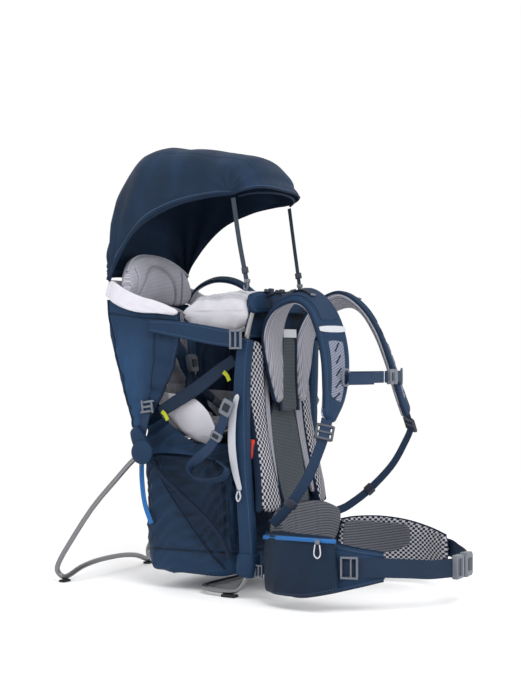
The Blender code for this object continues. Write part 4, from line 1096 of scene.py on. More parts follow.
def make_uprights():
    """What dresses each upright, from the stabiliser webbing to the foot stirrup."""
    for word, side in SIDES.items():
        make_stabiliser(word, side)
    for word, side in SIDES.items():
        make_sleeve(word, side)
        make_grip(word, side)
        make_base_block(word, side)
        make_hub_cover(word, side)
        make_stirrup(word, side)


def make_sleeve(word, side):
    """The padded cloth round an upright."""
    sleeve = Build()
    table = mirror_rows(
        [(*p, 0, 1, 0, w, 0.029) for p, w in zip(UPRIGHT, (0.030, 0.033, 0.034, 0.034, 0.036, 0.038))],
        side,
    )

    def wrinkle(a, along, width):
        return creases(np.stack([a, along * 0.7, along * 0], -1), 0.035, 15) * 0.0012

    sleeve.band(table, 170, 28, 0.6, rounded=0.006, puff=wrinkle)
    piece = sleeve.make(f"sleeve_{word}", [navy_stitched], "frame", [f"upright_sleeve_{word}"], "navy_fabric")


def make_grip(word, side):
    """The curved pale strip beside the back panel, with a small loop at its foot."""
    strip = [
        (0.168, -0.159, 0.428), (0.1715, -0.150, 0.390), (0.1725, -0.147, 0.330), (0.1715, -0.153, 0.275),
        (0.168, -0.165, 0.226),
    ]
    grip = Build().band(
        mirror_rows(
            [(*p, 0, 1, 0, w, 0.0050) for p, w in zip(strip, (0.010, 0.016, 0.018, 0.016, 0.010))], side,
        ),
        90, 16, 0.5, rounded=0.008,
    )
    loop = flip(
        [
            (0.170, -0.164, 0.226), (0.172, -0.168, 0.214), (0.172, -0.162, 0.205), (0.170, -0.157, 0.214),
            (0.169, -0.160, 0.226),
        ],
        side,
    )
    grip.tube(loop, 0.0018, count=40)
    grip.make(f"grip_{word}", [pale_plastic], "frame", [f"grab_strip_{word}"], "grey_plastic")


def make_base_block(word, side):
    """The cloth boot where the upright meets the base loop."""
    block = Build()
    base = mirror_rows(
        [
            (0.150, -0.175, 0.100, 0, 1, 0, 0.040, 0.036), (0.150, -0.174, 0.070, 0, 1, 0, 0.046, 0.040),
            (0.150, -0.170, 0.044, 0, 1, 0, 0.040, 0.034),
        ],
        side,
    )
    block.band(base, 40, 28, 0.55, rounded=0.008)
    piece = block.make(f"base_block_{word}", [navy], "frame", slot="navy_fabric")


def make_hub_cover(word, side):
    """The navy cover over the kickstand's hinge: a turned cap and a padded wing up to the wall."""
    hub = Build()
    profile = [
        (0.0075, 0.0), (0.0075, 0.020), (0.0085, 0.026), (0.0125, 0.0255), (0.0165, 0.018), (0.0180, 0.008),
        (0.0182, 0.0),
    ]
    turn = np.arange(40) * TAU / 40
    g = np.array(
        [
            [(side * (0.178 + x), 0.070 + r * 1.06 * math.cos(a), 0.300 + r * math.sin(a)) for a in turn]
            for x, r in profile[1:-1]
        ]
    )
    hub.grid(g, 0, 0.0, 0.0, 1.0, 0.0, True, True)
    wing = mirror_rows(
        [
            (0.170, 0.104, 0.352, 0, 1, 0, 0.022, 0.016), (0.173, 0.090, 0.330, 0, 1, 0, 0.034, 0.022),
            (0.1735, 0.076, 0.306, 0, 1, 0, 0.040, 0.0215),
        ],
        side,
    )
    hub.band(wing, 40, 24, 0.7, rounded=0.010)
    hub.make(f"hub_cover_{word}", [navy], "frame", [f"hinge_hub_{word}"], "navy_fabric", sharp=50)


def make_stirrup(word, side):
    """The foot stirrup: a twisted loop of webbing with two sliders."""
    loop = Build()
    x = 0.1875
    run = [(x, -0.150, 0.418, 0, 1, 0.45), (x, -0.132, 0.364, 0, 1, 0.45), (x, -0.104, 0.318, 0, 0.85, 0.6)]
    run += [
        (x, -0.070, 0.289, 0.5, 0.6, 0.6), (x, -0.052, 0.268, 0.8, 0, 0.4), (x, -0.066, 0.250, 0.8, 0, 0.4),
    ]
    run += [
        (x, -0.100, 0.246, 0.8, 0, 0.4), (x, -0.134, 0.254, 0.8, 0, 0.4), (x, -0.143, 0.272, 0.8, 0, 0.4),
        (x, -0.122, 0.287, 0.6, 0.3, 0.5),
    ]
    loop.band(mirror_rows([(*p, 0.022, 0.0028) for p in run], side), 170, 14, 0.35)
    piece = loop.make(
        f"stirrup_{word}", [webbing], f"stirrup_{word}", [f"foot_stirrup_{word}"], "navy_fabric",
    )
    parts = Build()
    for spot, size in (((-0.1440, 0.400), (0.006, 0.028, 0.034)), ((-0.1180, 0.340), (0.006, 0.027, 0.018))):
        parts.box((x * side, *spot), size, 0, (26, 0, 0), 0.25)
        parts.box(((x + 0.0032) * side, *spot), (0.001, size[1] * 0.6, size[2] * 0.5), 1, (26, 0, 0), 0.25)
    parts.make(f"stirrup_slider_{word}", [plastic, webbing_dark], f"stirrup_{word}", sharp=HARD_EDGE)


def make_stabiliser(word, side):
    """The short webbing from the base block to the hip fin, and its slider."""
    run = [(0.154, -0.190, 0.058), (0.153, -0.205, 0.062), (0.149, -0.225, 0.070), (0.144, -0.240, 0.080)]
    tie = Build().band(mirror_rows([(*p, 0, 0.2, 1, 0.020, 0.0026) for p in run], side), 30, 12, 0.35)
    piece = tie.make(f"stabiliser_{word}", [webbing], "frame", slot="navy_fabric")
    buckle = Build()
    for dy in (-0.008, 0.0, 0.008):
        buckle.box((0.1565 * side, -0.203 + dy, 0.061), (0.005, 0.003, 0.026), 0, edge=0.3)
    for dz in (-0.0115, 0.0115):
        buckle.box((0.1565 * side, -0.203, 0.061 + dz), (0.005, 0.019, 0.003), 0, edge=0.3)
    buckle.make(f"stabiliser_slider_{word}", [plastic], "frame", sharp=HARD_EDGE)


def dress(name, material):
    """Gives a CAD node this scene's material in place of its own."""
    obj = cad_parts[name]
    obj.data.materials.clear()
    obj.data.materials.append(material)
    obj.data.polygons.foreach_set("material_index", [0] * len(obj.data.polygons))


# ---- Wearer's back system -------------------------------------------------------------------

BACK_LINE = [(-0.163, 0.575), (-0.160, 0.480), (-0.166, 0.380), (-0.180, 0.280), (-0.200, 0.195)]


def make_back():
    """Mesh panel, the two pierced foam strips, the bound centre tongue and the lumbar pad."""
    line = spline([(0, y + 0.005, z) for y, z in BACK_LINE], np.linspace(0, 4, 130))
    t = np.linspace(-1, 1, 60)
    g = np.stack(
        np.broadcast_arrays(0.126 * t[None, :], line[:, 1:2] + 0.003 * t[None, :] ** 2, line[:, 2:3]), -1,
    ).copy()
    g[..., 1] += ripple(g, 0.05, 81) * 0.0006
    down = arc(line)[:, None] * np.ones((1, 60))
    mesh = Build().grid(g, 0, g[..., 0], down, (1 - np.abs(t))[None, :] * 0.126 * np.ones((130, 1)), -0.35)
    piece = mesh.make("back_net", [navy, navy_dark], "frame", ["back_mesh"], "grey_mesh", 0.0025, 1)
    flip_if_inward(piece, (0, 0.1, 0.4))
    for word, side in SIDES.items():
        make_foam_strip(word, side)
        make_back_rib(word, side)


def make_tongue():
    """The upper tongue, which moves with the harness, the wider lower one, and their bound edges."""
    upper = [(-0.182, 0.556, 0.060), (-0.183, 0.520, 0.064), (-0.182, 0.470, 0.068), (-0.183, 0.425, 0.074)]
    table = [(0, y, z, 1, 0, 0, w, 0.010) for y, z, w in (*upper, (-0.185, 0.388, 0.078))]
    piece = Build().band(table, 90, 40, 0.4, rounded=0.012).make(
        "centre_tongue", [tongue_mesh], "harness", ["harness_yoke"], "grey_mesh"
    )
    low = [
        (0, -0.1670, 0.424, 0.068), (0, -0.1685, 0.398, 0.084), (0, -0.1715, 0.365, 0.114),
        (0, -0.1840, 0.290, 0.120),
    ]
    low += [(0, -0.198, 0.225, 0.118), (0, -0.208, 0.182, 0.104)]
    table = [(x, y, z, 1, 0, 0, w, 0.009) for x, y, z, w in low]
    piece = Build().band(table, 120, 48, 0.4, rounded=0.012).make(
        "lower_tongue", [tongue_mesh], "frame", slot="grey_mesh",
    )
    edge = Build()
    for a in (-1, 1):
        edge.tube([(a * (w / 2 + 0.0005), y - 0.001, z) for _, y, z, w in low], 0.0028, count=110, sides=8)
    edge.make("lower_tongue_binding", [binding], "frame")
    edge = Build()
    for a in (-1, 1):
        rim = [
            (a * (w / 2), y - 0.004, z, 1, 0, 0, 0.010, 0.006)
            for y, z, w in (*upper, (-0.185, 0.389, 0.078))
        ]
        edge.band(rim, 90, 12, 0.5)
    edge.band(
        rows([(0, -0.1895, 0.566), (0, -0.1900, 0.548)], (1, 0, 0), 0.058, 0.003), 10, 16, 0.4,
        slots=(1, 1),
    )
    edge.make("tongue_binding", [binding, white_band], "harness")


def make_lumbar_cushion():
    """The cushion in the small of the wearer's back."""
    lumbar = [
        (-0.136, -0.236, 0.122, 0.076), (-0.112, -0.224, 0.130, 0.096), (-0.075, -0.217, 0.134, 0.108),
        (0, -0.213, 0.134, 0.114),
    ]
    lumbar += [(0.075, -0.217, 0.134, 0.108), (0.112, -0.224, 0.130, 0.096), (0.136, -0.236, 0.122, 0.076)]
    table = [(x, y, z, 0, 0, 1, w, 0.026) for x, y, z, w in lumbar]

    def puff(a, along, width):
        return 0.003 * np.cos(a / width * 3) - 0.003 * bell(np.abs(along - 0.145) - 0.05, 0.003)

    piece = Build().band(table, 110, 44, 0.6, rounded=0.014, slots=(0, 0), puff=puff).make(
        "lumbar_cushion", [shade_mesh], "frame", ["lumbar_pad"], "grey_mesh"
    )


def make_head_panel():
    """The dark cloth below the frame head, and the roots of the hip fins."""
    panel = [(x, -0.1668 + 0.25 * x * x, 0.587) for x in (-0.134, -0.07, 0.0, 0.07, 0.134)]
    piece = Build().band(rows(panel, (0, 0, 1), 0.082, 0.004), 90, 24, 0.4, tone=-0.2).make(
        "head_panel", [navy_stitched], "frame", slot="dark_fabric"
    )
    for word, side in SIDES.items():
        make_hip_root(word, side)


def make_hip_root(word, side):
    """The cloth that joins a fin to the back."""
    root = [
        (0.100, -0.198, 0.104, 0.080), (0.124, -0.205, 0.100, 0.086), (0.139, -0.216, 0.094, 0.092),
        (0.152, -0.236, 0.090, 0.096),
    ]
    table = mirror_rows([(x, y, z, 0, 0, 1, w, 0.006) for x, y, z, w in root], side)
    piece = Build().band(table, 40, 24, 0.5, tone=-0.2).make(
        f"hip_root_{word}", [navy], "frame", slot="navy_fabric", ride=False
    )
    tuple(table[0, :3] + SHIFT)
    tuple(table[-1, :3] + SHIFT)
    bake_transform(piece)


def make_foam_strip(word, side):
    """A pierced foam strip, turned outwards at its top, with piping along both borders."""
    run = [(0.118, -0.164, 0.540), (0.115, -0.164, 0.500), (0.109, -0.165, 0.450), (0.106, -0.171, 0.380)]
    run += [(0.107, -0.185, 0.300), (0.111, -0.200, 0.225), (0.114, -0.208, 0.180)]
    wide = [0.046, 0.050, 0.048, 0.045, 0.047, 0.056, 0.064]
    turned = [0.55, 0.50, 0.30, 0.12, 0.10, 0.18, 0.28]
    table = mirror_rows([(*p, 1, k, 0, w, 0.016) for p, k, w in zip(run, turned, wide)], side)

    def puff(a, along, width):
        return 0.0015 * np.cos(a / width * 3) + 0.0006 * ripple(np.stack([a, along, 0 * a], -1), 0.05, 6)

    pad = Build().band(table, 150, 32, 0.6, rounded=0.02, puff=puff)
    piece = pad.make(f"back_foam_{word}", [pierced], "frame", [f"back_pad_{word}"], "grey_mesh")
    edge = Build()
    for a in (-0.5, 0.5):
        rim = [
            (x + a * w / math.hypot(1, k), y + 0.003 + a * w * k / math.hypot(1, k), z)
            for (x, y, z), k, w in zip(run, turned, wide)
        ]
        edge.band(mirror_rows(rows(rim[1:], (0, 1, 0), 0.0160, 0.0046), side), 110, 14, 0.5, rounded=0.006)
    edge.make(f"back_foam_piping_{word}", [binding], "frame")


def make_back_rib(word, side):
    """The soft mesh rib between the tongue and a foam strip."""
    sling = [
        (0.072, -0.168, 0.525), (0.073, -0.167, 0.470), (0.074, -0.169, 0.410), (0.078, -0.179, 0.330),
        (0.082, -0.193, 0.260), (0.086, -0.204, 0.205),
    ]
    table = mirror_rows(
        [(*p, 1, 0, 0, w, 0.009) for p, w in zip(sling, (0.030, 0.034, 0.036, 0.034, 0.030, 0.026))], side,
    )
    piece = Build().band(table, 130, 24, 0.5, rounded=0.01).make(
        f"back_rib_{word}", [grey_mesh], "frame", slot="grey_mesh",
    )


STRAP_LINE = [
    (0.048, -0.188, 0.408), (0.062, -0.187, 0.482), (0.074, -0.188, 0.552), (0.088, -0.216, 0.606),
    (0.097, -0.268, 0.633), (0.103, -0.312, 0.614), (0.112, -0.344, 0.566), (0.128, -0.366, 0.500),
    (0.154, -0.377, 0.434), (0.192, -0.382, 0.378),
]
STRAP_ACROSS = [(1, 0, 0)] * 3 + [
    (1, 0, -0.2), (1, 0.1, -0.4), (1, 0.3, -0.2), (1, 0.5, 0), (1, 0.5, 0.2), (1, 0.4, 0.3), (1, 0.2, 0.6),
]
STRAP_THICK = 0.017
STRAP_WIDE = [0.022, 0.058, 0.076, 0.076, 0.072, 0.070, 0.070, 0.068, 0.058, 0.034]


def strap_table(side):
    """The shoulder strap's table."""
    table = [(*p, *a, w, STRAP_THICK) for p, a, w in zip(STRAP_LINE, STRAP_ACROSS, STRAP_WIDE)]
    return mirror_rows(table, side)


def strap_frame(side):
    """The strap's table at 200 even rows, with its tangent, across and outward directions."""
    fine = even(strap_table(side), 200)
    tangent = unit(np.gradient(fine[:, :3], axis=0))
    across = unit(fine[:, 3:6] - tangent * (fine[:, 3:6] * tangent).sum(1, keepdims=True))
    face = np.cross(tangent, across)
    return fine, tangent, across, face * outward(face, fine, side)


def make_shoulder_straps():
    """Padded straps: ribbed mesh inside, navy outside with a mesh panel, a pale band and bound edges."""
    for word, side in SIDES.items():
        make_strap_pad(word, side)
        make_strap_binding(word, side)
        make_strap_panels(word, side)
        make_strap_slits(word, side)
        make_triglide(word, side)
        make_lifter(word, side)


def make_strap_pad(word, side):
    """The padded strap itself, with a sewn line 8 mm inside each border."""
    slots = (1, 0)

    def puff(a, along, width):
        seam = bell(np.abs(a) - (width / 2 - 0.008), 0.002)
        return 0.0016 * np.cos(a / width * 3) - 0.0018 * seam

    strap = Build().band(strap_table(side), 220, 48, 0.5, slots=slots, rounded=0.012, puff=puff)
    piece = strap.make(
        f"strap_pad_{word}", [grey_mesh, navy_stitched], "harness", [f"shoulder_strap_{word}"], "navy_fabric"
    )


def make_strap_binding(word, side):
    """The bound edges of a strap."""
    fine, _, across, _ = strap_frame(side)
    parts = Build()
    for a in (-0.5, 0.5):
        rim = fine[6:-6, :3] + across[6:-6] * (a * fine[6:-6, 6:7])
        parts.tube(rim, PIPING, count=170, sides=8)
    parts.make(f"strap_binding_{word}", [binding], "harness", slot="navy_fabric")


def make_strap_panels(word, side):
    """On a strap's outer face: a mesh panel, a pale band, and the webbing over the shoulder."""
    fine, _, across, face = strap_frame(side)
    parts = Build()
    for low, high, share, slot, thick in (
        (139, 187, 0.52, 0, 0.003), (128, 134, 0.94, 1, 0.0024), (76, 127, 0.62, 2, 0.0030),
    ):
        part = fine[low:high]
        lift = part[:, 7:8] / 2 + 0.0012
        points = part[:, :3] + face[low:high] * lift
        table = np.hstack([points, across[low:high], part[:, 6:7] * share, np.full((high - low, 1), thick)])
        parts.band(table[:: max(1, (high - low) // 12)], 60, 20, 0.4, slots=(slot, slot), rounded=0.004)
    parts.make(f"strap_panels_{word}", [slant_grey, white_band, webbing], "harness")


def make_strap_slits(word, side):
    """Five slanting slits in the strap's mesh panel."""
    slits = Build()
    fine, tangent, across, face = strap_frame(side)
    for k in range(5):
        i = 144 + 9 * k
        spot = fine[i, :3] + face[i] * (fine[i, 7] / 2 + 0.0030)
        step = tangent[i] * 0.010 + across[i] * 0.006 * side
        slits.band(
            rows([spot - step, spot, spot + step], across[i] - tangent[i] * 0.6 * side, 0.0030, 0.0012), 10,
            8, 0.6,
        )
    slits.make(f"strap_slits_{word}", [navy_dark], "harness")


def outward(face, fine, side):
    """1 or -1 for each row: which way the strap's outer face lies, away from the wearer's shoulder."""
    centre = np.array([0.10 * side, -0.25, 0.45])
    return np.sign((face * (fine[:, :3] - centre)).sum(1))[:, None]


def make_triglide(word, side):
    """The slider at the strap's end, and the webbing from it down to the hip belt."""
    run = np.array(
        [
            (0.211, -0.384, 0.348), (0.209, -0.372, 0.320), (0.200, -0.342, 0.264), (0.182, -0.294, 0.208),
            (0.163, -0.252, 0.172), (0.150, -0.231, 0.160),
        ]
    )
    face = np.array([0.86, -0.50, 0.0])
    tangent = unit(np.gradient(run, axis=0))
    across = unit(np.cross(tangent, face))
    end, tip = np.array([0.206, -0.383, 0.356]), np.array([0.190, -0.381, 0.385])
    parts = Build()
    way = unit(tip - end)
    wide = unit(np.cross(way, face))
    for k, deep in ((-0.014, 0.006), (0.0, 0.005), (0.014, 0.006)):
        ends = [end + way * k - wide * 0.018, end + way * k, end + way * k + wide * 0.018]
        parts.band(mirror_rows([(*p, *way, deep, 0.0065) for p in ends], side), 12, 10, 0.4, rounded=0.003)
    for k in (-0.0165, 0.0165):
        ends = [end + wide * k - way * 0.017, end + wide * k, end + wide * k + way * 0.017]
        parts.band(mirror_rows([(*p, *wide, 0.005, 0.0065) for p in ends], side), 12, 10, 0.4, rounded=0.003)
    feed = [end + way * 0.030, end, end - way * 0.012]
    parts.band(mirror_rows([(*p, *wide, 0.023, 0.004) for p in feed], side), 14, 10, 0.4, slots=(1, 1))
    parts.make(
        f"strap_slider_{word}", [black, webbing], "harness", [f"triglide_{word}"], "black_plastic",
        sharp=HARD_EDGE,
    )
    table = mirror_rows(np.hstack([run, across, np.full((6, 1), 0.021), np.full((6, 1), 0.0024)]), side)
    piece = Build().band(table, 110, 14, 0.35).make(
        f"lower_strap_{word}", [webbing], "frame", [f"lower_webbing_{word}"], "navy_fabric", ride=False
    )
    tuple(flip(run[-1], side) + SHIFT)
    tuple(flip(run[0], side) + SHIFT)
    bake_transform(piece)
    spot, way, wide = run[3], tangent[3], across[3]
    parts = Build()
    ends = [spot - way * 0.011, spot, spot + way * 0.011]
    parts.band(mirror_rows([(*p, *wide, 0.027, 0.0085) for p in ends], side), 14, 12, 0.4, rounded=0.003)
    parts.make(f"lower_slider_{word}", [black], "frame", sharp=HARD_EDGE)


def make_lifter(word, side):
    """The load lifter: a ladderlock on the strap's crest and the thin strap from the frame head to it."""
    fine, _, _, face = strap_frame(side)
    i = 86  # the strap's crest
    spot = fine[i, :3] + face[i] * (fine[i, 7] / 2 + 0.004)
    parts = Build()
    parts.box(tuple(spot), (0.026, 0.020, 0.006), 0, (0, 10 * side, 0), 0.3)
    parts.box(tuple(spot + (0, -0.004, 0.004)), (0.022, 0.005, 0.005), 0, (0, 10 * side, 0), 0.3)
    tail = [
        spot + (0, -0.006, 0.003), spot + (0.004 * side, -0.030, 0.006),
        spot + (0.008 * side, -0.056, -0.006),
    ]
    parts.band(rows(tail, (1, 0, -0.2 * side), 0.014, 0.0018), 30, 10, 0.4, slots=(1, 1))
    parts.box(tuple(tail[-1]), (0.016, 0.007, 0.004), 2, (20, 0, 0), 0.3)
    parts.make(f"lifter_lock_{word}", [black, webbing_dark, plastic], "harness", sharp=HARD_EDGE)
    run = [
        np.array([0.092 * side, -0.186, 0.632]), np.array([0.095 * side, -0.210, 0.640]),
        spot + (0, 0.010, 0.001),
    ]
    piece = Build().band(rows(run, (1, 0, 0), 0.016, 0.0022), 50, 12, 0.35).make(
        f"lifter_{word}", [webbing_dark], "frame", [f"load_lifter_{word}"], "dark_fabric", ride=False
    )
    tuple(run[0] + SHIFT)
    tuple(run[-1] + SHIFT)
    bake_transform(piece)


def make_chest_strap():
    """The chest strap: a webbing from each shoulder strap, D rings, and the two halves of its buckle."""
    z = 0.464
    hard = Build()
    for word, side in SIDES.items():
        run = [
            (0.130 * side, -0.396, z), (0.095 * side, -0.408, z), (0.052 * side, -0.4145, z),
            (0.004 * side, -0.4165, z),
        ]
        strap = Build().band(rows(run, (0, 0, 1), 0.025, 0.0026), 60, 12, 0.35)
        if side < 0:
            low = [(p[0] - 0.002, p[1] - 0.0035, p[2] - 0.003) for p in run[:3]]
            strap.band(rows(low, (0, 0, 1), 0.025, 0.0022), 40, 12, 0.35)
        piece = strap.make(f"chest_web_{word}", [webbing], "harness", [f"chest_strap_{word}"], "navy_fabric")
        0.130 if side > 0 else 0.21
        ring = flip(
            [
                (0.140, -0.392, z + 0.015), (0.131, -0.397, z + 0.015), (0.127, -0.399, z),
                (0.131, -0.397, z - 0.015), (0.140, -0.392, z - 0.015), (0.142, -0.391, z),
                (0.140, -0.392, z + 0.015),
            ],
            side,
        )
        hard.tube(ring, 0.0024, count=60, sides=8)
    for x, wide, deep in ((0.026, 0.022, 0.012), (0.046, 0.016, 0.011)):
        hard.box((x, -0.4185, z), (wide, deep, 0.032), 0, (0, 0, 3), 0.25)
    hard.box((0.026, -0.4250, z), (0.010, 0.002, 0.018), 1, (0, 0, 3), 0.25)
    hard.make("chest_buckle", [plastic, black], "harness", sharp=HARD_EDGE)


# ---- Hip belt ---------------------------------------------------------------------------------

FIN = [
    (0.136, -0.238, 0.088, 0.105), (0.165, -0.268, 0.085, 0.122), (0.190, -0.320, 0.085, 0.124),
    (0.198, -0.380, 0.088, 0.106), (0.188, -0.440, 0.090, 0.078), (0.154, -0.495, 0.092, 0.052),
]


FIN_THICK = [0.018, 0.024, 0.025, 0.025, 0.022, 0.012]


def fin_table(side):
    """The hip fin's table, standing upright."""
    table = mirror_rows([(x, y, z, 0, 0, 1, h, t) for (x, y, z, h), t in zip(FIN, FIN_THICK)], side)
    table[:, 3:6] = (0, 0, 1)
    return table


def make_hip_belt():
    """Padded fins with a mesh inner face, their webbing and the buckle."""
    for word, side in SIDES.items():
        make_fin(word, side)
        make_fin_binding(word, side)
        make_fin_lining(word, side)
        make_belt_web(word, side)
        make_belt_lock(word, side)
    make_buckle()
    make_pocket()


def make_fin(word, side):
    """A padded fin: navy outside, pierced foam inside."""
    table = fin_table(side)

    def puff(a, along, width):
        seam = bell(np.abs(a) - (width / 2 - 0.010), 0.0022)
        return 0.0025 * np.cos(a / width * 3) - 0.0022 * seam + 0.001 * ripple(
            np.stack([a, along, 0 * a], -1), 0.06, 17,
        )

    slots = (0, 1) if side < 0 else (1, 0)
    fin = Build().band(table, 150, 48, 0.55, slots=slots, rounded=0.012, puff=puff)
    piece = fin.make(
        f"hip_pad_{word}", [navy_stitched, pierced], f"hip_side_{word}", [f"hip_fin_{word}"], "navy_fabric",
    )


def make_fin_binding(word, side):
    """The bound top and bottom edges of a fin."""
    fine = even(fin_table(side), 120)
    edge = Build()
    for a in (-0.5, 0.5):
        edge.tube(fine[3:-3, :3] + (0, 0, 1) * (a * fine[3:-3, 6:7]), PIPING, count=110, sides=8)
    edge.make(f"hip_binding_{word}", [binding], f"hip_side_{word}", slot="navy_fabric")


def make_fin_lining(word, side):
    """The ribbed panel on the inner face, from the root to mid fin."""
    part = even(fin_table(side), 120)[3:74]
    tangent = unit(np.gradient(part[:, :3], axis=0))
    inner = np.stack([tangent[:, 1], -tangent[:, 0], 0 * tangent[:, 0]], 1)
    inner *= -np.sign(inner[:, :1]) * side
    share = np.linspace(0, 1, 71)[:, None]
    points = part[:, :3] + inner * (
        part[:, 7:8] / 2 + 0.0022
    ) + np.array([0, 0, 1.0]) * (0.004 + 0.020 * share)
    high = part[:, 6:7] * (0.84 - 0.42 * share)
    table = np.hstack([points, 0 * points + (0, 0, 1), high, np.full((71, 1), 0.003)])
    Build().band(table[::7], 90, 24, 0.5, rounded=0.010).make(
        f"hip_lining_{word}", [shade_mesh], f"hip_side_{word}",
    )


def make_belt_web(word, side):
    """The hip webbing from the fin to the buckle."""
    run = [
        (0.2085, -0.392, 0.088), (0.203, -0.440, 0.090), (0.170, -0.494, 0.091), (0.128, -0.530, 0.087),
        (0.092, -0.560, 0.083), (0.043, -0.5855, 0.082),
    ]
    table = mirror_rows([(*p, 0, 0, 1, 0.038, 0.0030) for p in run], side)
    table[:, 3:6] = (0, 0, 1)
    piece = Build().band(table, 130, 16, 0.3, tone=-0.3).make(
        f"belt_web_{word}", [webbing], f"hip_side_{word}", [f"hip_webbing_{word}"], "navy_fabric"
    )


def make_belt_lock(word, side):
    """The rectangular ladderlock on the fin."""
    lock = Build()
    x, y = 0.2075, -0.438
    for k, w in ((-0.0150, 0.0042), (-0.0035, 0.0035), (0.0150, 0.0042)):
        lock.box(((x + k * 0.30) * side, y + k, 0.092), (0.008, w, 0.044), 0, (0, 0, -17 * side), 0.3)
    for dz in (-0.0198, 0.0198):
        lock.box((x * side, y, 0.092 + dz), (0.008, 0.034, 0.0042), 0, (0, 0, -17 * side), 0.3)
    lock.make(f"belt_lock_{word}", [plastic], f"hip_side_{word}", sharp=HARD_EDGE)


def make_buckle():
    """The hip buckle: a ribbed female half with side windows, and the male half with its prongs."""
    y, z = -0.590, 0.082
    half = Build()
    half.box((0.0235, y, z), (0.041, 0.0155, 0.048), 0, edge=0.22)
    half.box((0.0250, y - 0.0078, z), (0.020, 0.002, 0.026), 1, edge=0.25)
    for dz in (-0.0205, 0.0205):
        half.box((0.014, y, z + dz), (0.016, 0.0165, 0.009), 0, edge=0.3)
    half.make(
        "buckle_socket", [plastic, black], "hip_side_left", ["hip_buckle_socket"], "grey_plastic",
        sharp=HARD_EDGE,
    )
    half = Build()
    half.box((-0.0225, y, z), (0.038, 0.0145, 0.047), 0, edge=0.22)
    for dx in (-0.034, -0.026, -0.018):
        half.box((dx, y - 0.0075, z), (0.0025, 0.0018, 0.036), 1, edge=0.25)
    half.box((-0.0145, y - 0.0068, z), (0.012, 0.003, 0.034), 0, edge=0.3)
    half.box((0.006, y, z), (0.024, 0.004, 0.026), 0, edge=0.2)
    half.make(
        "buckle_tongue", [plastic, black], "hip_side_right", ["hip_buckle_tongue"], "grey_plastic",
        sharp=HARD_EDGE,
    )


def make_pocket():
    """The zipped pocket on the right fin: a soft pouch with a blue zip along its top and a corded puller."""
    line = [
        (-0.178, -0.232, 0.087), (-0.205, -0.278, 0.089), (-0.220, -0.340, 0.092), (-0.221, -0.395, 0.098),
        (-0.214, -0.416, 0.100),
    ]
    high = [0.120, 0.126, 0.124, 0.112, 0.102]
    deep = [0.014, 0.034, 0.036, 0.030, 0.014]
    table = np.array([(*p, 0, 0, 1, h, d) for p, h, d in zip(line, high, deep)], float)

    def puff(a, along, width):
        spot = np.stack([a, along, 0 * a], -1)
        seam = bell(np.abs(a / width - 0.30) * width, 0.002)
        return creases(spot * (1, 0.6, 1), 0.05, 19) * 0.0022 + ripple(spot, 0.08, 18) * 0.001 - 0.002 * seam

    pouch = Build().band(table, 130, 56, 0.45, rounded=0.008, tone=-0.50, puff=puff)
    piece = pouch.make("pocket_pouch", [navy_stitched], "hip_side_right", ["hip_pocket"], "navy_fabric")
    zip_line = [
        (-0.186, -0.232, 0.137), (-0.218, -0.275, 0.142), (-0.2375, -0.333, 0.1455),
        (-0.2370, -0.388, 0.1455), (-0.224, -0.418, 0.144),
    ]
    zip_ = Build()
    zip_.band(rows(zip_line, (0.25, 0, 1), 0.0085, 0.0026), 80, 12, 0.4)
    zip_.tube(np.array(zip_line) - (0.0014, 0, 0), 0.0014, 0, count=90)
    zip_.make("pocket_zip_tape", [blue], "hip_side_right")
    pull = Build()
    x = -0.2425
    pull.box((x, -0.386, 0.1430), (0.0035, 0.010, 0.009), 0, edge=0.25)
    ring = [
        (x, -0.3810, 0.138), (x - 0.0005, -0.3790, 0.119), (x, -0.386, 0.1115),
        (x + 0.0005, -0.3925, 0.119), (x, -0.3910, 0.138),
    ]
    pull.tube(ring, 0.0013, 1, count=50, sides=8)
    pull.make("zip_puller", [plastic, pale_cloth], "pocket_zip", ["pocket_zip_puller"], "grey_plastic")


# ---- Small tabs -------------------------------------------------------------------------------


def make_tabs():
    """Bright tabs and a release clip behind the back panel's strips."""
    for word, side in SIDES.items():
        clip = Build()
        clip.box((0.1320 * side, -0.1720, 0.312), (0.014, 0.010, 0.040), 0, (8, 0, 0), 0.3)
        clip.box((0.1320 * side, -0.1775, 0.314), (0.007, 0.003, 0.018), 1, (8, 0, 0), 0.3)
        for z, x in ((0.486, 0.092), (0.362, 0.094)):
            clip.box((x * side, -0.1680, z), (0.006, 0.014, 0.022), 0, (4, 0, 0), 0.3)
        clip.make(f"side_clip_{word}", [red, black], "frame", sharp=HARD_EDGE)


# ---- Stage, light and camera ----------------------------------------------------------------


def make_stage():
    """A pale floor that fades out with distance."""
    floor = bpy.data.meshes.new("floor")
    far = 40.0
    floor.from_pydata([(-far, -far, 0), (far, -far, 0), (far, far, 0), (-far, far, 0)], [], [(0, 1, 2, 3)])
    white = bpy.data.materials.new("studio floor")
    white.use_nodes = True
    tree = white.node_tree
    shader = tree.nodes["Principled BSDF"]
    shader.inputs["Base Color"].default_value = (0.965, 0.965, 0.97, 1)
    shader.inputs["Roughness"].default_value = 1.0
    shader.inputs["Specular IOR Level"].default_value = 0.0
    place = node(tree, "ShaderNodeTexCoord", (), 3)
    reach = node(tree, "ShaderNodeVectorMath", {0: place}, 1, operation="LENGTH")
    tree.links.new(reach.below(1.7, 1.6).socket, shader.inputs["Alpha"])
    floor.materials.append(white)
    ground = bpy.data.objects.new("studio_floor", floor)
    bpy.context.scene.collection.objects.link(ground)
    ground.location = (0, 0, -0.0005)


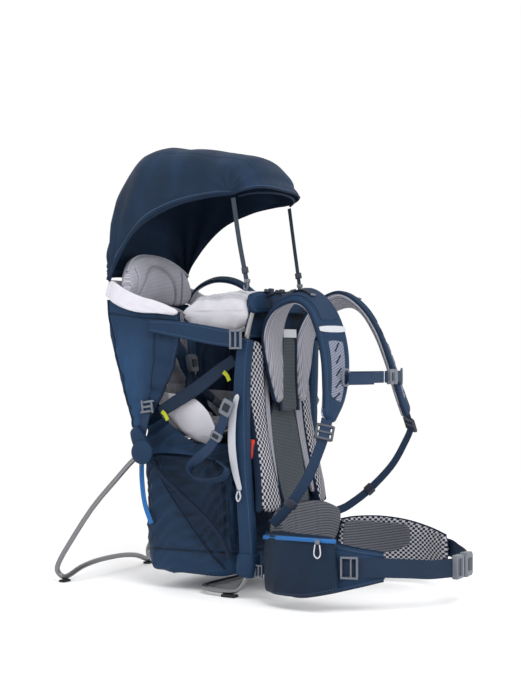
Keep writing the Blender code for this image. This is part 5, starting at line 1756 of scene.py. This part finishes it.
def make_lights():
    """White surroundings and three soft lamps aimed at the carrier's middle."""
    world = bpy.data.worlds.new("studio")
    world.use_nodes = True
    sky = world.node_tree.nodes["Background"]
    sky.inputs["Color"].default_value = (1.0, 1.0, 1.0, 1)
    sky.inputs["Strength"].default_value = 1.0
    bpy.context.scene.world = world
    for name, place, size, power in (
        ("key", (-1.6, -1.9, 2.6), 1.6, 60.0),
        ("fill", (-2.4, 1.2, 1.2), 2.0, 18.0),
        ("front", (0.6, -2.8, 1.1), 1.4, 16.0),
    ):
        lamp = bpy.data.lights.new(name, "AREA")
        lamp.energy, lamp.size = power, size
        light = bpy.data.objects.new(name, lamp)
        light.location = place
        light.rotation_mode = "QUATERNION"
        light.rotation_quaternion = (Vector(place) - Vector((0, 0, 0.45))).to_track_quat("Z", "Y")
        bpy.context.scene.collection.objects.link(light)


CAMERA_PLACE = (-2.634, -1.655, 0.50)  # about the carrier's middle plane
CAMERA_TURN, CAMERA_TILT = math.radians(30.3), math.radians(0.42)
LENS, SENSOR = 71.18, 36.0


def make_camera():
    """A long lens at the wearer's right, a little in front of the side view and level with the middle."""
    level = math.cos(CAMERA_TILT)
    ahead = Vector((math.cos(CAMERA_TURN) * level, math.sin(CAMERA_TURN) * level, math.sin(CAMERA_TILT)))
    camera = bpy.data.objects.new("camera", bpy.data.cameras.new("camera"))
    camera.data.lens, camera.data.sensor_width = LENS, SENSOR
    camera.location = Vector(CAMERA_PLACE) + Vector(SHIFT)
    camera.rotation_mode = "QUATERNION"
    camera.rotation_quaternion = (-ahead).to_track_quat("Z", "Y")
    bpy.context.scene.collection.objects.link(camera)
    bpy.context.scene.camera = camera


make_canopy()
make_canopy_straps()
make_side_walls()
make_rear_wall()
make_collar()
make_headrest()
make_backrest()
make_seat()
make_seat_sides()
make_child_harness()
make_front_wall()
make_chin_pad()
make_handle()
make_side_straps()
make_bag()
make_bag_zips()
make_frame()
make_uprights()
make_back()
make_tongue()
make_lumbar_cushion()
make_head_panel()
make_shoulder_straps()
make_chest_strap()
make_hip_belt()
make_tabs()
make_stage()
make_lights()
make_camera()
bpy.context.scene.view_settings.view_transform = "Standard"
